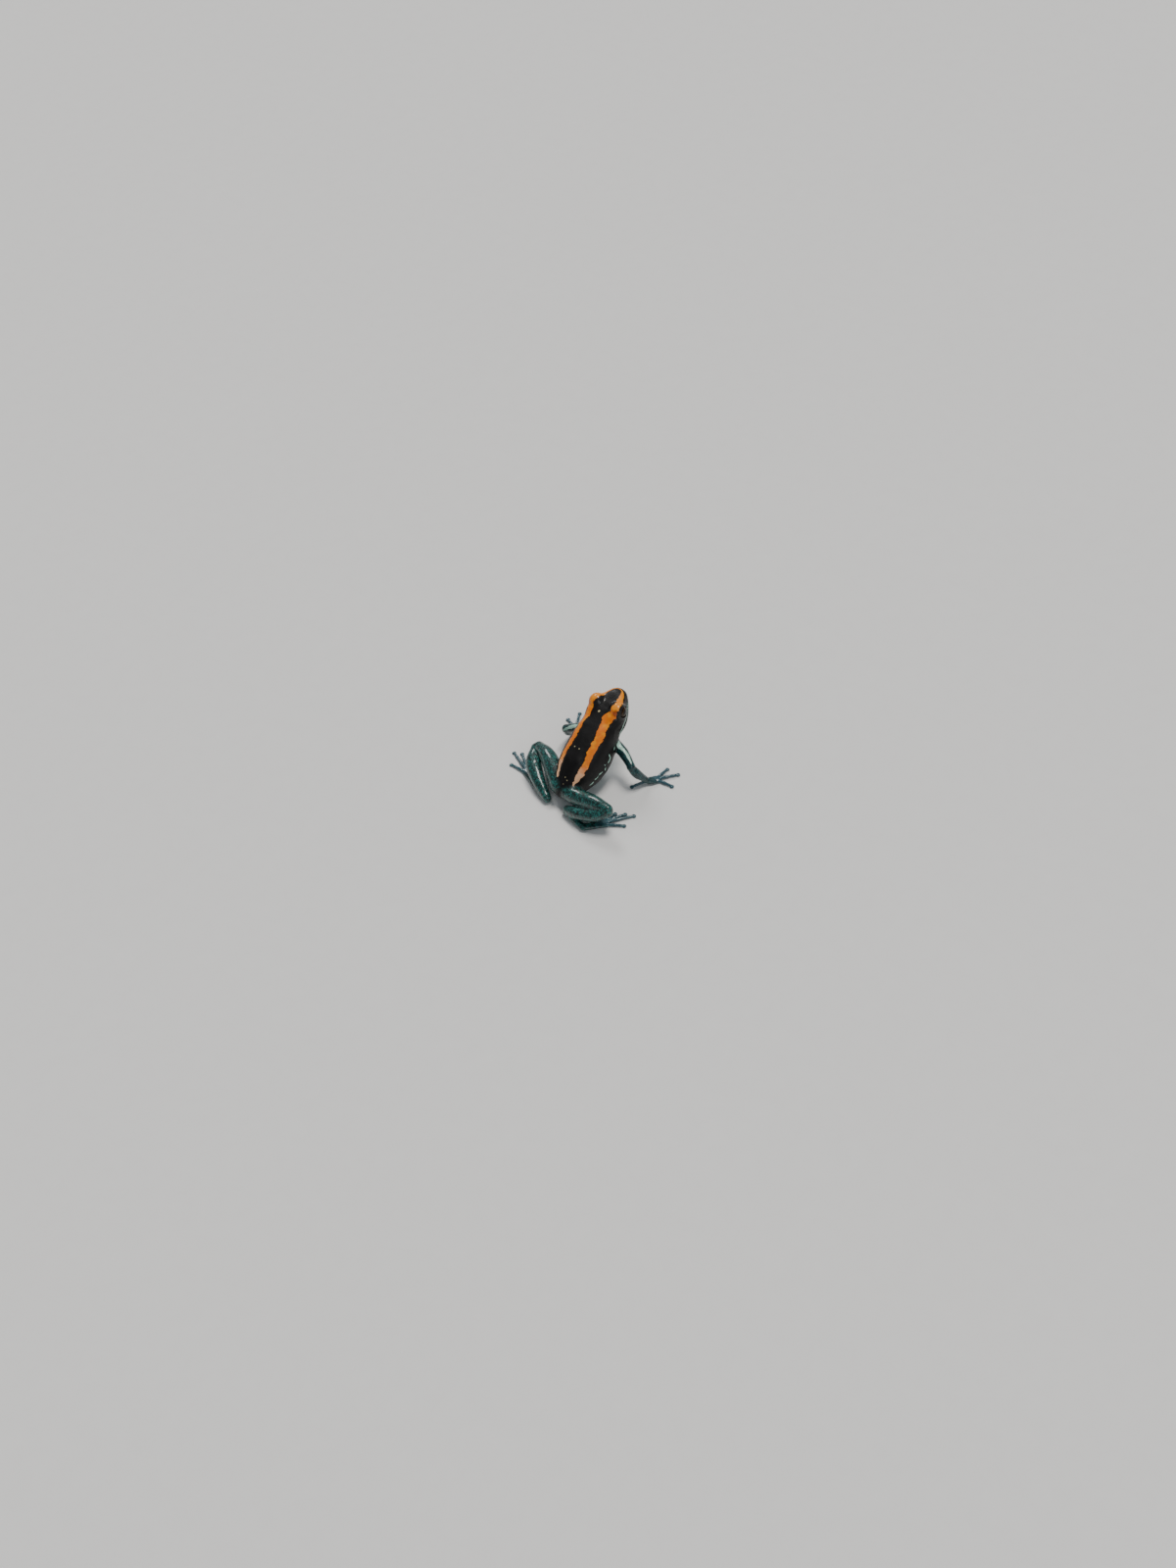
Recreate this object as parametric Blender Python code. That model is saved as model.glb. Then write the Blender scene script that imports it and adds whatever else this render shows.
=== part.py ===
"""Golfodulcean poison frog (Phyllobates vittatus), an adult at life size, as a still model.

The frog sits on the floor plane z = 0 with its head raised and its hind legs folded.
Units are metres, +Z is up, the face looks along -Y and the frog's right side is -X.
The origin is the bottom centre of its bounding box.

The sizes below are in millimetres, in a frame that is easier to think in: f forward, r to the
frog's right, z up. The trunk is given in its own pitched frame: s along the line from the vent
to the snout, r to the right, h above that line. Each node is one closed solid, and nodes meet
face to face with a thin gap.
"""

import math

import bmesh
import bpy
from mathutils import Vector

MM = 0.001

# Driving dimensions, millimetres and degrees.
SNOUT_VENT = 27.0
PITCH = 27.3
VENT_F, VENT_Z = 1.0, 2.75
ORIGIN_F, ORIGIN_R = 11.4, 0.9
GAP = 0.3
NECK_S = 18.2
EYE_S, EYE_R, EYE_H = 22.05, 2.80, 1.73
EYE_RADIUS = 1.55
SOCKET_RADIUS = 1.80
LID_RADIUS = 2.05
BROW_RADII = (1.85, 2.7, 1.75)
BROW_BACK, BROW_IN, BROW_DOWN = 0.9, 0.25, 0.50
TYMPANUM_S, TYMPANUM_H, TYMPANUM_RADIUS = 19.25, 0.15, 0.72
NOSTRIL_S, NOSTRIL_H, NOSTRIL_RADIUS = 25.85, 0.75, 0.26
MOUTH_FROM_S, MOUTH_DEPTH = 18.75, 0.34
TRUNK_SIDES = 32
LOWER_SQUARE = 2.3
LIMB_SIDES = 16
DIGIT_SIDES = 8

# Stations of the trunk: s, half width, top, bottom, height of the widest line, squareness of
# the upper half (2 is an ellipse).
TRUNK = (
    (0.00, 0.00, 0.00, 0.00, 0.00, 2.0),
    (0.12, 0.85, 0.55, -0.60, 0.00, 2.0),
    (0.60, 1.60, 1.05, -1.20, 0.00, 2.0),
    (1.60, 2.35, 1.60, -2.00, -0.05, 2.1),
    (3.00, 3.20, 2.25, -3.45, -0.70, 2.2),
    (5.00, 4.05, 3.00, -4.85, -1.30, 2.2),
    (8.00, 4.95, 3.60, -6.00, -1.60, 2.2),
    (11.0, 5.25, 3.70, -6.15, -1.55, 2.2),
    (14.0, 5.10, 3.60, -5.50, -1.20, 2.3),
    (16.5, 4.65, 3.35, -4.30, -0.80, 2.4),
    (18.2, 4.45, 3.15, -3.45, -0.65, 2.5),
    (19.5, 4.55, 3.00, -3.10, -0.70, 2.7),
    (21.0, 4.45, 2.80, -2.80, -0.70, 2.9),
    (22.5, 4.00, 2.55, -2.50, -0.65, 3.0),
    (24.0, 3.25, 2.25, -2.10, -0.50, 3.0),
    (25.3, 2.45, 1.90, -1.70, -0.30, 2.8),
    (26.3, 1.65, 1.35, -1.25, -0.10, 2.5),
    (26.8, 1.00, 0.85, -0.80, 0.00, 2.2),
    (27.0, 0.00, 0.05, -0.05, 0.00, 2.0),
)

# Each limb: stations of its axis as f, r, z, half size sideways, half size in height.
THIGH_RIGHT = ((2.7, 1.6, 3.7, 1.9, 1.8), (2.4, 5.0, 4.05, 1.95, 1.9),
               (2.2, 9.2, 5.1, 1.70, 1.70), (2.0, 12.8, 5.7, 1.15, 1.15))
SHANK_RIGHT = ((1.7, 13.0, 5.1, 1.10, 1.10), (0.4, 10.1, 3.8, 1.50, 1.40),
               (-0.3, 6.2, 2.6, 1.35, 1.30), (-0.2, 3.0, 1.7, 0.95, 0.95))
TARSUS_RIGHT = ((-0.3, 2.8, 1.1, 0.90, 0.90), (-1.0, 5.6, 0.9, 0.82, 0.74),
                (-1.5, 8.5, 0.7, 0.95, 0.60))
THIGH_LEFT = ((2.9, -1.5, 4.2, 1.9, 1.9), (5.3, -4.7, 4.9, 2.05, 2.05),
              (7.6, -8.4, 5.2, 1.75, 1.75), (8.9, -11.8, 4.8, 1.20, 1.20))
SHANK_LEFT = ((8.5, -12.5, 4.2, 1.20, 1.20), (5.3, -10.6, 3.4, 1.80, 1.70),
              (2.6, -7.1, 2.5, 1.55, 1.45), (0.55, -3.5, 1.4, 0.95, 0.95))
TARSUS_LEFT = ((0.4, -3.2, 1.0, 0.90, 0.90), (1.3, -6.1, 0.9, 0.82, 0.74),
               (2.9, -9.0, 0.7, 0.95, 0.60))
UPPER_ARM_RIGHT = ((16.9, 2.9, 7.4, 1.20, 1.25), (16.1, 6.1, 6.75, 1.15, 1.15),
                   (14.6, 9.3, 5.7, 0.85, 0.85))
FOREARM_RIGHT = ((14.4, 9.4, 5.4, 0.85, 0.85), (14.9, 10.4, 3.6, 1.05, 1.00),
                 (16.2, 11.7, 1.25, 0.65, 0.62))
UPPER_ARM_LEFT = ((17.0, -2.9, 7.6, 1.20, 1.25), (16.7, -6.3, 6.9, 1.15, 1.15),
                  (15.9, -9.7, 5.7, 0.85, 0.85))
FOREARM_LEFT = ((15.8, -9.8, 5.4, 0.85, 0.85), (16.9, -10.3, 3.5, 1.05, 1.00),
                (18.8, -10.9, 1.25, 0.65, 0.62))

# Palms and soles as limb stations, then digits as base f, base r, heading in degrees from
# straight ahead (positive to the right) and length.
PALM_RIGHT = ((16.1, 11.6, 1.05, 0.65, 0.62), (17.0, 12.3, 0.66, 1.00, 0.58),
              (18.2, 13.1, 0.38, 1.05, 0.46))
FINGERS_RIGHT = ((17.2, 11.8, -150, 4.7), (18.4, 12.8, 4, 3.9), (18.5, 13.2, 40, 4.8),
                 (18.0, 13.6, 84, 3.8))
PALM_LEFT = ((18.6, -10.8, 1.0, 0.62, 0.60), (19.7, -11.2, 0.62, 0.95, 0.52),
             (20.9, -11.8, 0.38, 1.00, 0.46))
FINGERS_LEFT = ((20.6, -11.3, 34, 3.5), (21.1, -11.6, 2, 3.3), (21.2, -12.0, -28, 4.5),
                (20.7, -12.3, -66, 3.4))
SOLE_RIGHT = ((-1.5, 8.5, 0.7, 0.95, 0.60), (0.2, 9.8, 0.55, 1.05, 0.52),
              (2.3, 11.4, 0.36, 1.28, 0.44))
TOES_RIGHT = ((1.6, 10.2, -14, 2.6), (2.5, 10.8, 13, 3.5), (2.7, 11.3, 29, 4.8),
              (2.7, 11.8, 38, 6.1), (1.9, 12.0, 60, 4.2))
SOLE_LEFT = ((2.9, -9.0, 0.7, 0.95, 0.60), (3.9, -10.8, 0.55, 1.05, 0.52),
             (5.0, -12.9, 0.36, 1.28, 0.44))
TOES_LEFT = ((5.2, -11.8, -10, 2.6), (5.8, -12.7, -37, 3.5), (5.6, -13.4, -54, 4.8),
             (5.1, -13.6, -65, 6.0), (4.2, -13.1, -88, 4.2))

SKINS = {
    "black": ((0.008, 0.008, 0.009, 1.0), 0.28),
    "teal": ((0.010, 0.060, 0.065, 1.0), 0.32),
    "eye": ((0.004, 0.003, 0.003, 1.0), 0.05),
}


def place(f, r, z):
    """World point in metres of a point given forward, right and up in millimetres."""
    return Vector((-(r + ORIGIN_R), -(f - ORIGIN_F), z)) * MM


def trunk_point(s, r, h):
    """Forward, right and up of a point of the pitched trunk frame, in millimetres."""
    cos_p, sin_p = math.cos(math.radians(PITCH)), math.sin(math.radians(PITCH))
    return VENT_F + s * cos_p - h * sin_p, r, VENT_Z + s * sin_p + h * cos_p


def spline(stations, at):
    """Catmull-Rom value of a table at a fractional index."""
    last = len(stations) - 1
    i = min(int(at), last - 1)
    t = at - i
    p1, p2 = stations[i], stations[i + 1]
    p0 = stations[i - 1] if i > 0 else tuple(2 * a - b for a, b in zip(p1, p2))
    p3 = stations[i + 2] if i + 2 <= last else tuple(2 * b - a for a, b in zip(p1, p2))
    return tuple(
        0.5 * (2 * b + (c - a) * t + (2 * a - 5 * b + 4 * c - d) * t * t
               + (3 * b - a - 3 * c + d) * t ** 3)
        for a, b, c, d in zip(p0, p1, p2, p3)
    )


def trunk_station(s):
    """The trunk's station at s, read smoothly from its table with monotone slopes."""
    rows = TRUNK
    i = max(k for k in range(len(rows) - 1) if rows[k][0] <= s or k == 0)
    x0, x1 = rows[i][0], rows[i + 1][0]
    t = min(max((s - x0) / (x1 - x0), 0.0), 1.0)

    def slope(k, j):
        if k in (0, len(rows) - 1):
            a, b = (0, 1) if k == 0 else (k - 1, k)
            return (rows[b][j] - rows[a][j]) / (rows[b][0] - rows[a][0])
        left = (rows[k][j] - rows[k - 1][j]) / (rows[k][0] - rows[k - 1][0])
        right = (rows[k + 1][j] - rows[k][j]) / (rows[k + 1][0] - rows[k][0])
        return 0.0 if left * right <= 0 else 2 * left * right / (left + right)

    out = []
    for j in range(1, 6):
        m0, m1 = slope(i, j) * (x1 - x0), slope(i + 1, j) * (x1 - x0)
        y0, y1 = rows[i][j], rows[i + 1][j]
        out.append((2 * t ** 3 - 3 * t * t + 1) * y0 + (t ** 3 - 2 * t * t + t) * m0
                   + (3 * t * t - 2 * t ** 3) * y1 + (t ** 3 - t * t) * m1)
    return out


def mouth_height(s):
    """Height of the line of the mouth above the vent-snout line."""
    back = (SNOUT_VENT - s) / (SNOUT_VENT - MOUTH_FROM_S)
    return -0.35 - 1.15 * back ** 0.7


def trunk_ring(s, grow=0.0, mouth=False):
    """One closed section of the trunk, as trunk-frame points, with the mouth's groove."""
    width, top, bottom, middle, square = trunk_station(s)
    width, top, bottom = width + grow, top + grow, bottom - grow
    ring = []
    for k in range(TRUNK_SIDES):
        angle = 2 * math.pi * k / TRUNK_SIDES
        c, d = math.cos(angle), math.sin(angle)
        power = square if d > 0 else LOWER_SQUARE
        x = width * math.copysign(abs(c) ** (2 / power), c)
        reach = top - middle if d > 0 else middle - bottom
        h = middle + reach * math.copysign(abs(d) ** (2 / power), d)
        ring.append([x, h])
    if mouth:
        line = mouth_height(s)
        fade = min(1.0, max(0.0, (s - MOUTH_FROM_S) / 0.8))
        fade *= min(1.0, max(0.0, (SNOUT_VENT - 0.15 - s) / 0.5))
        for side in (1, -1):
            near = sorted((k for k in range(TRUNK_SIDES) if ring[k][0] * side > 0),
                          key=lambda k: abs(ring[k][1] - line))[0]
            ahead, back = (near + 1) % TRUNK_SIDES, (near - 1) % TRUNK_SIDES
            shift = line - ring[near][1]
            ring[near][1] += shift
            depth = MOUTH_DEPTH * fade
            ring[near][0] -= side * depth
            for other in (ahead, back):
                away = 0.24 if ring[other][1] > line else -0.24
                ring[other][1] = line + away if fade > 0 else ring[other][1]
                ring[other][0] += side * 0.05 * fade
    return [(s, x, h) for x, h in ring]


def loft(name, rings, start=None, end=None):
    """A closed mesh through rings of equal count; a missing pole gives a flat end."""
    mesh = bpy.data.meshes.new(name)
    bm = bmesh.new()
    rows = [[bm.verts.new(p) for p in ring] for ring in rings]
    count = len(rows[0])
    for low, high in zip(rows, rows[1:]):
        for k in range(count):
            n = (k + 1) % count
            bm.faces.new((low[k], low[n], high[n], high[k]))
    for row, pole, flip in ((rows[0], start, True), (rows[-1], end, False)):
        if pole is None:
            bm.faces.new(list(reversed(row)) if flip else row)
            continue
        tip = bm.verts.new(pole)
        for k in range(count):
            n = (k + 1) % count
            bm.faces.new((row[n], row[k], tip) if flip else (row[k], row[n], tip))
    bmesh.ops.recalc_face_normals(bm, faces=bm.faces)
    bm.to_mesh(mesh)
    bm.free()
    obj = bpy.data.objects.new(name, mesh)
    PARTS.objects.link(obj)
    return obj


def trunk(name, stations, grow=0.0, mouth=False, start=None, end=None):
    """The trunk between two stations, with poles where it ends in the vent or the snout."""
    rings = [[place(*trunk_point(*p)) for p in trunk_ring(s, grow, mouth)] for s in stations]
    poles = [place(*trunk_point(*p)) if p else None for p in (start, end)]
    return loft(name, rings, *poles)


def tube(name, stations, sides, steps, round_start=True, round_end=True, grow=0.0):
    """A limb: a smooth axis through its stations with oval sections and rounded ends."""
    last = len(stations) - 1
    samples = [spline(stations, last * k / steps) for k in range(steps + 1)]
    points = [Vector(s[:3]) for s in samples]
    rings = []
    for k, (f, r, z, a, b) in enumerate(samples):
        tangent = (points[min(k + 1, steps)] - points[max(k - 1, 0)]).normalized()
        side = tangent.cross(Vector((0, 0, 1))).normalized()
        lift = side.cross(tangent)
        offsets = [(0.0, 1.0)]
        if k == 0 and round_start:
            offsets = [(-0.92, 0.38), (-0.7, 0.71), (-0.38, 0.92), (0.0, 1.0)]
        if k == steps and round_end:
            offsets = [(0.0, 1.0), (0.38, 0.92), (0.7, 0.71), (0.92, 0.38)]
        for along, scale in offsets:
            centre = points[k] + tangent * along * (min(a, b) + grow)
            rings.append([
                centre + side * (a + grow) * scale * math.cos(2 * math.pi * n / sides)
                + lift * (b + grow) * scale * math.sin(2 * math.pi * n / sides)
                for n in range(sides)
            ])
        if k == 0:
            head = points[k] - tangent * (min(a, b) + grow) if round_start else None
        if k == steps:
            tail = points[k] + tangent * (min(a, b) + grow) if round_end else None
    rings = [[place(*p) for p in ring] for ring in rings]
    return loft(name, rings, head and place(*head), tail and place(*tail))


def cut_plane(obj, point, normal):
    """Keep the side of a plane that its normal points away from, and close the cut."""
    bm = bmesh.new()
    bm.from_mesh(obj.data)
    bmesh.ops.bisect_plane(
        bm, geom=bm.verts[:] + bm.edges[:] + bm.faces[:], dist=1e-8, plane_co=place(*point),
        plane_no=Vector((-normal[1], -normal[0], normal[2])), clear_outer=True)
    edges = [e for e in bm.edges if e.is_boundary]
    if edges:
        bmesh.ops.holes_fill(bm, edges=edges, sides=0)
    bmesh.ops.recalc_face_normals(bm, faces=bm.faces)
    bm.to_mesh(obj.data)
    bm.free()


def part_joint(joint, first, second, first_far, second_far):
    """Part two limb pieces at their joint with the plane that halves its angle."""
    joint = Vector(joint)
    u = (Vector(first_far) - joint).normalized()
    v = (Vector(second_far) - joint).normalized()
    normal = (u - v).normalized()
    cut_plane(first, joint + normal * GAP / 2, -normal)
    cut_plane(second, joint - normal * GAP / 2, normal)


def boolean(obj, tool, operation, solver="EXACT"):
    """Cut or join one object with another, and keep the largest closed body."""
    mod = obj.modifiers.new(tool.name, "BOOLEAN")
    mod.operation, mod.solver = operation, solver
    if isinstance(tool, bpy.types.Collection):
        mod.operand_type, mod.collection = "COLLECTION", tool
    else:
        mod.object = tool
    bpy.context.view_layer.update()
    graph = bpy.context.evaluated_depsgraph_get()
    mesh = bpy.data.meshes.new_from_object(obj.evaluated_get(graph))
    obj.modifiers.clear()
    bm = bmesh.new()
    bm.from_mesh(mesh)
    bmesh.ops.remove_doubles(bm, verts=bm.verts, dist=2e-8)
    bmesh.ops.dissolve_degenerate(bm, edges=bm.edges, dist=2e-8)
    keep_largest(bm)
    bm.to_mesh(mesh)
    bm.free()
    old, obj.data = obj.data, mesh
    mesh.name = obj.name
    bpy.data.meshes.remove(old)


def keep_largest(bm):
    """Leave only the island with the most volume."""
    todo, islands = set(bm.faces), []
    while todo:
        stack, island = [todo.pop()], []
        while stack:
            face = stack.pop()
            island.append(face)
            for edge in face.edges:
                for other in edge.link_faces:
                    if other in todo:
                        todo.remove(other)
                        stack.append(other)
        volume = 0.0
        for face in island:
            a = face.verts[0].co
            for p, q in zip(face.verts[1:], face.verts[2:]):
                volume += a.dot(p.co.cross(q.co))
        islands.append((abs(volume), island))
    islands.sort(key=lambda item: -item[0])
    for _, island in islands[1:]:
        bmesh.ops.delete(bm, geom=island, context="FACES")


def as_cutter(obj):
    """Put an object among the cutters, where it isn't part of the frog."""
    PARTS.objects.unlink(obj)
    CUTTERS.objects.link(obj)
    obj.hide_render = True
    obj.display_type = "WIRE"
    return obj


def sphere(name, centre, radius, segments, rings):
    """A sphere at a trunk-frame point, as an object of its own."""
    bpy.ops.mesh.primitive_uv_sphere_add(
        segments=segments, ring_count=rings, radius=radius * MM,
        location=place(*trunk_point(*centre)))
    obj = bpy.context.object
    obj.name = obj.data.name = name
    bpy.context.collection.objects.unlink(obj)
    PARTS.objects.link(obj)
    return obj


def side_normal(s, h):
    """Outward direction of the head's right side at a height, in the trunk frame."""
    def reach(at, height):
        width, top, bottom, middle, square = trunk_station(at)
        span = (top - middle) if height > middle else (middle - bottom)
        part = min(abs(height - middle) / span, 0.999)
        power = square if height > middle else LOWER_SQUARE
        return width * (1 - part ** power) ** (1 / power)
    x = reach(s, h)
    ds = (reach(s + 0.05, h) - reach(s - 0.05, h)) / 0.1
    dh = (reach(s, h + 0.05) - reach(s, h - 0.05)) / 0.1
    return x, Vector((-ds, 1.0, -dh)).normalized()


def disc_on_side(name, s, h, side, radius, depth, proud):
    """A short cylinder set on the side of the head, its outer face a little proud."""
    x, normal = side_normal(s, h)
    a = Vector(place(*trunk_point(s, side * x, h)))
    b = Vector(place(*trunk_point(s + normal.x, side * (x + normal.y), h + normal.z)))
    axis = (b - a).normalized()
    bpy.ops.mesh.primitive_cylinder_add(
        vertices=20, radius=radius * MM, depth=depth * MM,
        location=a + axis * (proud - depth / 2) * MM,
        rotation=axis.to_track_quat("Z", "Y").to_euler())
    obj = bpy.context.object
    obj.name = obj.data.name = name
    bpy.context.collection.objects.unlink(obj)
    PARTS.objects.link(obj)
    return obj


def digits(name, palm, rows, limb, joint, far):
    """A hand or foot: parted from its limb, then fused with its disc-tipped digits."""
    base = tube(name, palm, 14, 7)
    part_joint(joint, limb, base, far, palm[-1][:3])
    group = bpy.data.collections.new(name + "_digits")
    bpy.context.scene.collection.children.link(group)
    for k, (f, r, heading, length) in enumerate(rows):
        turn = math.radians(heading)
        ahead = (math.cos(turn), math.sin(turn))
        stations = []
        for along, wide, tall, lift in (
                (-1.15, 0.41, 0.34, 0.42), (0.45 * length, 0.36, 0.33, 0.42),
                (0.80 * length, 0.33, 0.31, 0.33), (length - 0.45, 0.52, 0.30, 0.21)):
            stations.append((f + ahead[0] * along, r + ahead[1] * along, lift, wide, tall))
        digit = tube(f"{name}_{k}", stations, DIGIT_SIDES, 6)
        PARTS.objects.unlink(digit)
        group.objects.link(digit)
        digit.hide_render = True
        digit.display_type = "WIRE"
    boolean(base, group, "UNION", "MANIFOLD")
    for obj in list(group.objects):
        bpy.data.objects.remove(obj, do_unlink=True)
    bpy.data.collections.remove(group)
    boolean(base, FLOOR, "DIFFERENCE")
    return base


def floor_block():
    """A block whose top is the floor plane, which cuts the flats the frog stands on."""
    bpy.ops.mesh.primitive_cube_add(size=80 * MM, location=(0, 0, -40 * MM))
    obj = bpy.context.object
    obj.name = obj.data.name = "floor_block"
    bpy.context.collection.objects.unlink(obj)
    PARTS.objects.link(obj)
    return as_cutter(obj)


def give(obj, skin):
    """Give an object its own Principled material of a named skin."""
    colour, rough = SKINS[skin]
    material = bpy.data.materials.new(obj.name)
    material.use_nodes = True
    shader = material.node_tree.nodes["Principled BSDF"]
    shader.inputs["Base Color"].default_value = colour
    shader.inputs["Roughness"].default_value = rough
    shader.inputs["Metallic"].default_value = 0.0
    obj.data.materials.clear()
    obj.data.materials.append(material)
    obj.data.shade_smooth()
    obj.data.set_sharp_from_angle(angle=math.radians(50))


def build_head():
    """The head with its lids, sockets, nostrils, eardrums and the line of the mouth."""
    start = NECK_S + GAP / 2
    steps = 20
    stations = [start + (26.85 - start) * (1 - (1 - k / steps) ** 1.35) for k in range(steps + 1)]
    head = trunk("head", stations, mouth=True, end=(SNOUT_VENT, 0.0, 0.0))
    for side in (1, -1):
        brow = as_cutter(sphere(f"brow_{side}",
                                (EYE_S - BROW_BACK, side * (EYE_R - BROW_IN), EYE_H - BROW_DOWN),
                                1.0, 20, 12))
        brow.rotation_euler = (math.radians(-PITCH), 0, 0)
        brow.scale = BROW_RADII
        boolean(head, brow, "UNION")
        lid = as_cutter(sphere(f"lid_{side}", (EYE_S, side * EYE_R, EYE_H), LID_RADIUS, 20, 12))
        boolean(head, lid, "UNION")
        drum = as_cutter(disc_on_side(f"drum_{side}", TYMPANUM_S, TYMPANUM_H, side,
                                      TYMPANUM_RADIUS, 1.2, 0.13))
        boolean(head, drum, "UNION")
        dish = as_cutter(disc_on_side(f"dish_{side}", TYMPANUM_S, TYMPANUM_H, side,
                                      TYMPANUM_RADIUS - 0.18, 1.0, 1.0))
        boolean(head, dish, "DIFFERENCE")
    for side in (1, -1):
        opening = as_cutter(sphere(f"opening_{side}",
                                   (EYE_S + 0.1, side * (EYE_R + 1.75), EYE_H - 0.15),
                                   1.45, 18, 12))
        boolean(head, opening, "DIFFERENCE")
        socket = as_cutter(sphere(f"socket_{side}", (EYE_S, side * EYE_R, EYE_H),
                                  SOCKET_RADIUS, 18, 12))
        boolean(head, socket, "DIFFERENCE")
        x, _ = side_normal(NOSTRIL_S, NOSTRIL_H)
        nostril = as_cutter(sphere(f"nostril_{side}", (NOSTRIL_S, side * x, NOSTRIL_H),
                                   NOSTRIL_RADIUS, 10, 8))
        boolean(head, nostril, "DIFFERENCE")
        eye = sphere("eye_right" if side > 0 else "eye_left",
                     (EYE_S, side * EYE_R, EYE_H), EYE_RADIUS, 18, 12)
        give(eye, "eye")
    give(head, "black")


def build_torso():
    """The torso, from the vent to the neck's parting, and the same form grown by the gap."""
    end = NECK_S - GAP / 2
    stations = [0.12, 0.35, 0.8] + [1.6 + (end - 1.6) * k / 19 for k in range(20)]
    torso = trunk("torso", stations, start=(0.0, 0.0, 0.0))
    give(torso, "black")
    cutter = trunk("trunk_grown", stations[1:] + [19.5, 21.0], grow=GAP,
                   start=(-GAP, 0.0, 0.0))
    return as_cutter(cutter)


def build_limbs(keep_out):
    """Arms and legs, parted at their joints and kept clear of the trunk by the gap."""
    arms = (("right", UPPER_ARM_RIGHT, FOREARM_RIGHT, PALM_RIGHT, FINGERS_RIGHT),
            ("left", UPPER_ARM_LEFT, FOREARM_LEFT, PALM_LEFT, FINGERS_LEFT))
    for side, upper, lower, palm, fingers in arms:
        a = tube(f"upper_arm_{side}", upper, LIMB_SIDES, 9)
        b = tube(f"forearm_{side}", lower, LIMB_SIDES, 9)
        elbow = [(p + q) / 2 for p, q in zip(upper[-1][:3], lower[0][:3])]
        wrist = [(p + q) / 2 for p, q in zip(lower[-1][:3], palm[0][:3])]
        part_joint(elbow, a, b, upper[0][:3], lower[-1][:3])
        c = digits(f"hand_{side}", palm, fingers, b, wrist, lower[0][:3])
        boolean(a, keep_out, "DIFFERENCE")
        for obj in (a, b, c):
            give(obj, "teal")
    legs = (("right", THIGH_RIGHT, SHANK_RIGHT, TARSUS_RIGHT, SOLE_RIGHT, TOES_RIGHT),
            ("left", THIGH_LEFT, SHANK_LEFT, TARSUS_LEFT, SOLE_LEFT, TOES_LEFT))
    for side, thigh, shank, tarsus, sole, toes in legs:
        a = tube(f"thigh_{side}", thigh, LIMB_SIDES, 10)
        b = tube(f"shank_{side}", shank, LIMB_SIDES, 10)
        c = tube(f"tarsus_{side}", tarsus, LIMB_SIDES, 8)
        knee = [(p + q) / 2 for p, q in zip(thigh[-1][:3], shank[0][:3])]
        heel = [(p + q) / 2 for p, q in zip(shank[-1][:3], tarsus[0][:3])]
        ball = sole[0][:3]
        part_joint(knee, a, b, thigh[0][:3], shank[-1][:3])
        part_joint(heel, b, c, shank[0][:3], tarsus[-1][:3])
        d = digits(f"foot_{side}", sole, toes, c, ball, tarsus[0][:3])
        for obj in (a, b, c):
            boolean(obj, keep_out, "DIFFERENCE")
            boolean(obj, FLOOR, "DIFFERENCE")
        for obj in (a, b, c, d):
            give(obj, "teal")


for old_object in list(bpy.data.objects):
    bpy.data.objects.remove(old_object, do_unlink=True)
PARTS = bpy.data.collections.new("golfodulcean_poison_frog")
CUTTERS = bpy.data.collections.new("cutters")
bpy.context.scene.collection.children.link(PARTS)
bpy.context.scene.collection.children.link(CUTTERS)
FLOOR = floor_block()

build_head()
build_limbs(build_torso())
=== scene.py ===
"""Golfodulcean poison frog: the finished skin, the eyes, the markings and the studio.

The frog is one continuous skin. Its shape is a distance field, a function that gives how far any
point lies outside the skin, built from the trunk, the limbs and the digits and their soft joins. The
skin mesh is worked out from that field with numpy, and the markings are distances along the same
surface, kept on the mesh as attributes and turned into colour by the materials.

Shapes are written in the frog's own millimetres: f forward, r to its right, z up.
"""

import logging
import math
from dataclasses import dataclass, field
from enum import Enum

import bpy
import numpy as np
from mathutils import Matrix, Vector


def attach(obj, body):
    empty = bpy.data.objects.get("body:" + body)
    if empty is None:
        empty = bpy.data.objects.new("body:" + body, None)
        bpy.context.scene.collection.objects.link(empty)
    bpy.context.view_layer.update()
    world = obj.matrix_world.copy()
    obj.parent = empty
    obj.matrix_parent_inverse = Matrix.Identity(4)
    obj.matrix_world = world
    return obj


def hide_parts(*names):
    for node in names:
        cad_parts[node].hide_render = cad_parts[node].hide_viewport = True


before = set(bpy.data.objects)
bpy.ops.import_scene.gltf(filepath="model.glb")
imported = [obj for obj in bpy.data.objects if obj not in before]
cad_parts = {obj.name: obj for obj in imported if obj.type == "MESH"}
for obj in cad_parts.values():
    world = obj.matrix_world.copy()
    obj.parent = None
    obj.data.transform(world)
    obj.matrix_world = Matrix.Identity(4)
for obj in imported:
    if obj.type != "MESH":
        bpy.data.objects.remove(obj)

Points = np.ndarray
Values = np.ndarray
Rows = tuple[tuple[float, ...], ...]
Pair = tuple[float, float]
Triple = tuple[float, float, float]
Form = tuple[float, float, float, float, float]
Colour = tuple[float, float, float, float]

MM = 0.001
PER_METRE = 1000.0
FAR = 4.0
LOG = logging.getLogger("frog")


class Side(Enum):
    """The two sides of the frog, as the sign of r."""

    RIGHT = 1
    LEFT = -1


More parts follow.
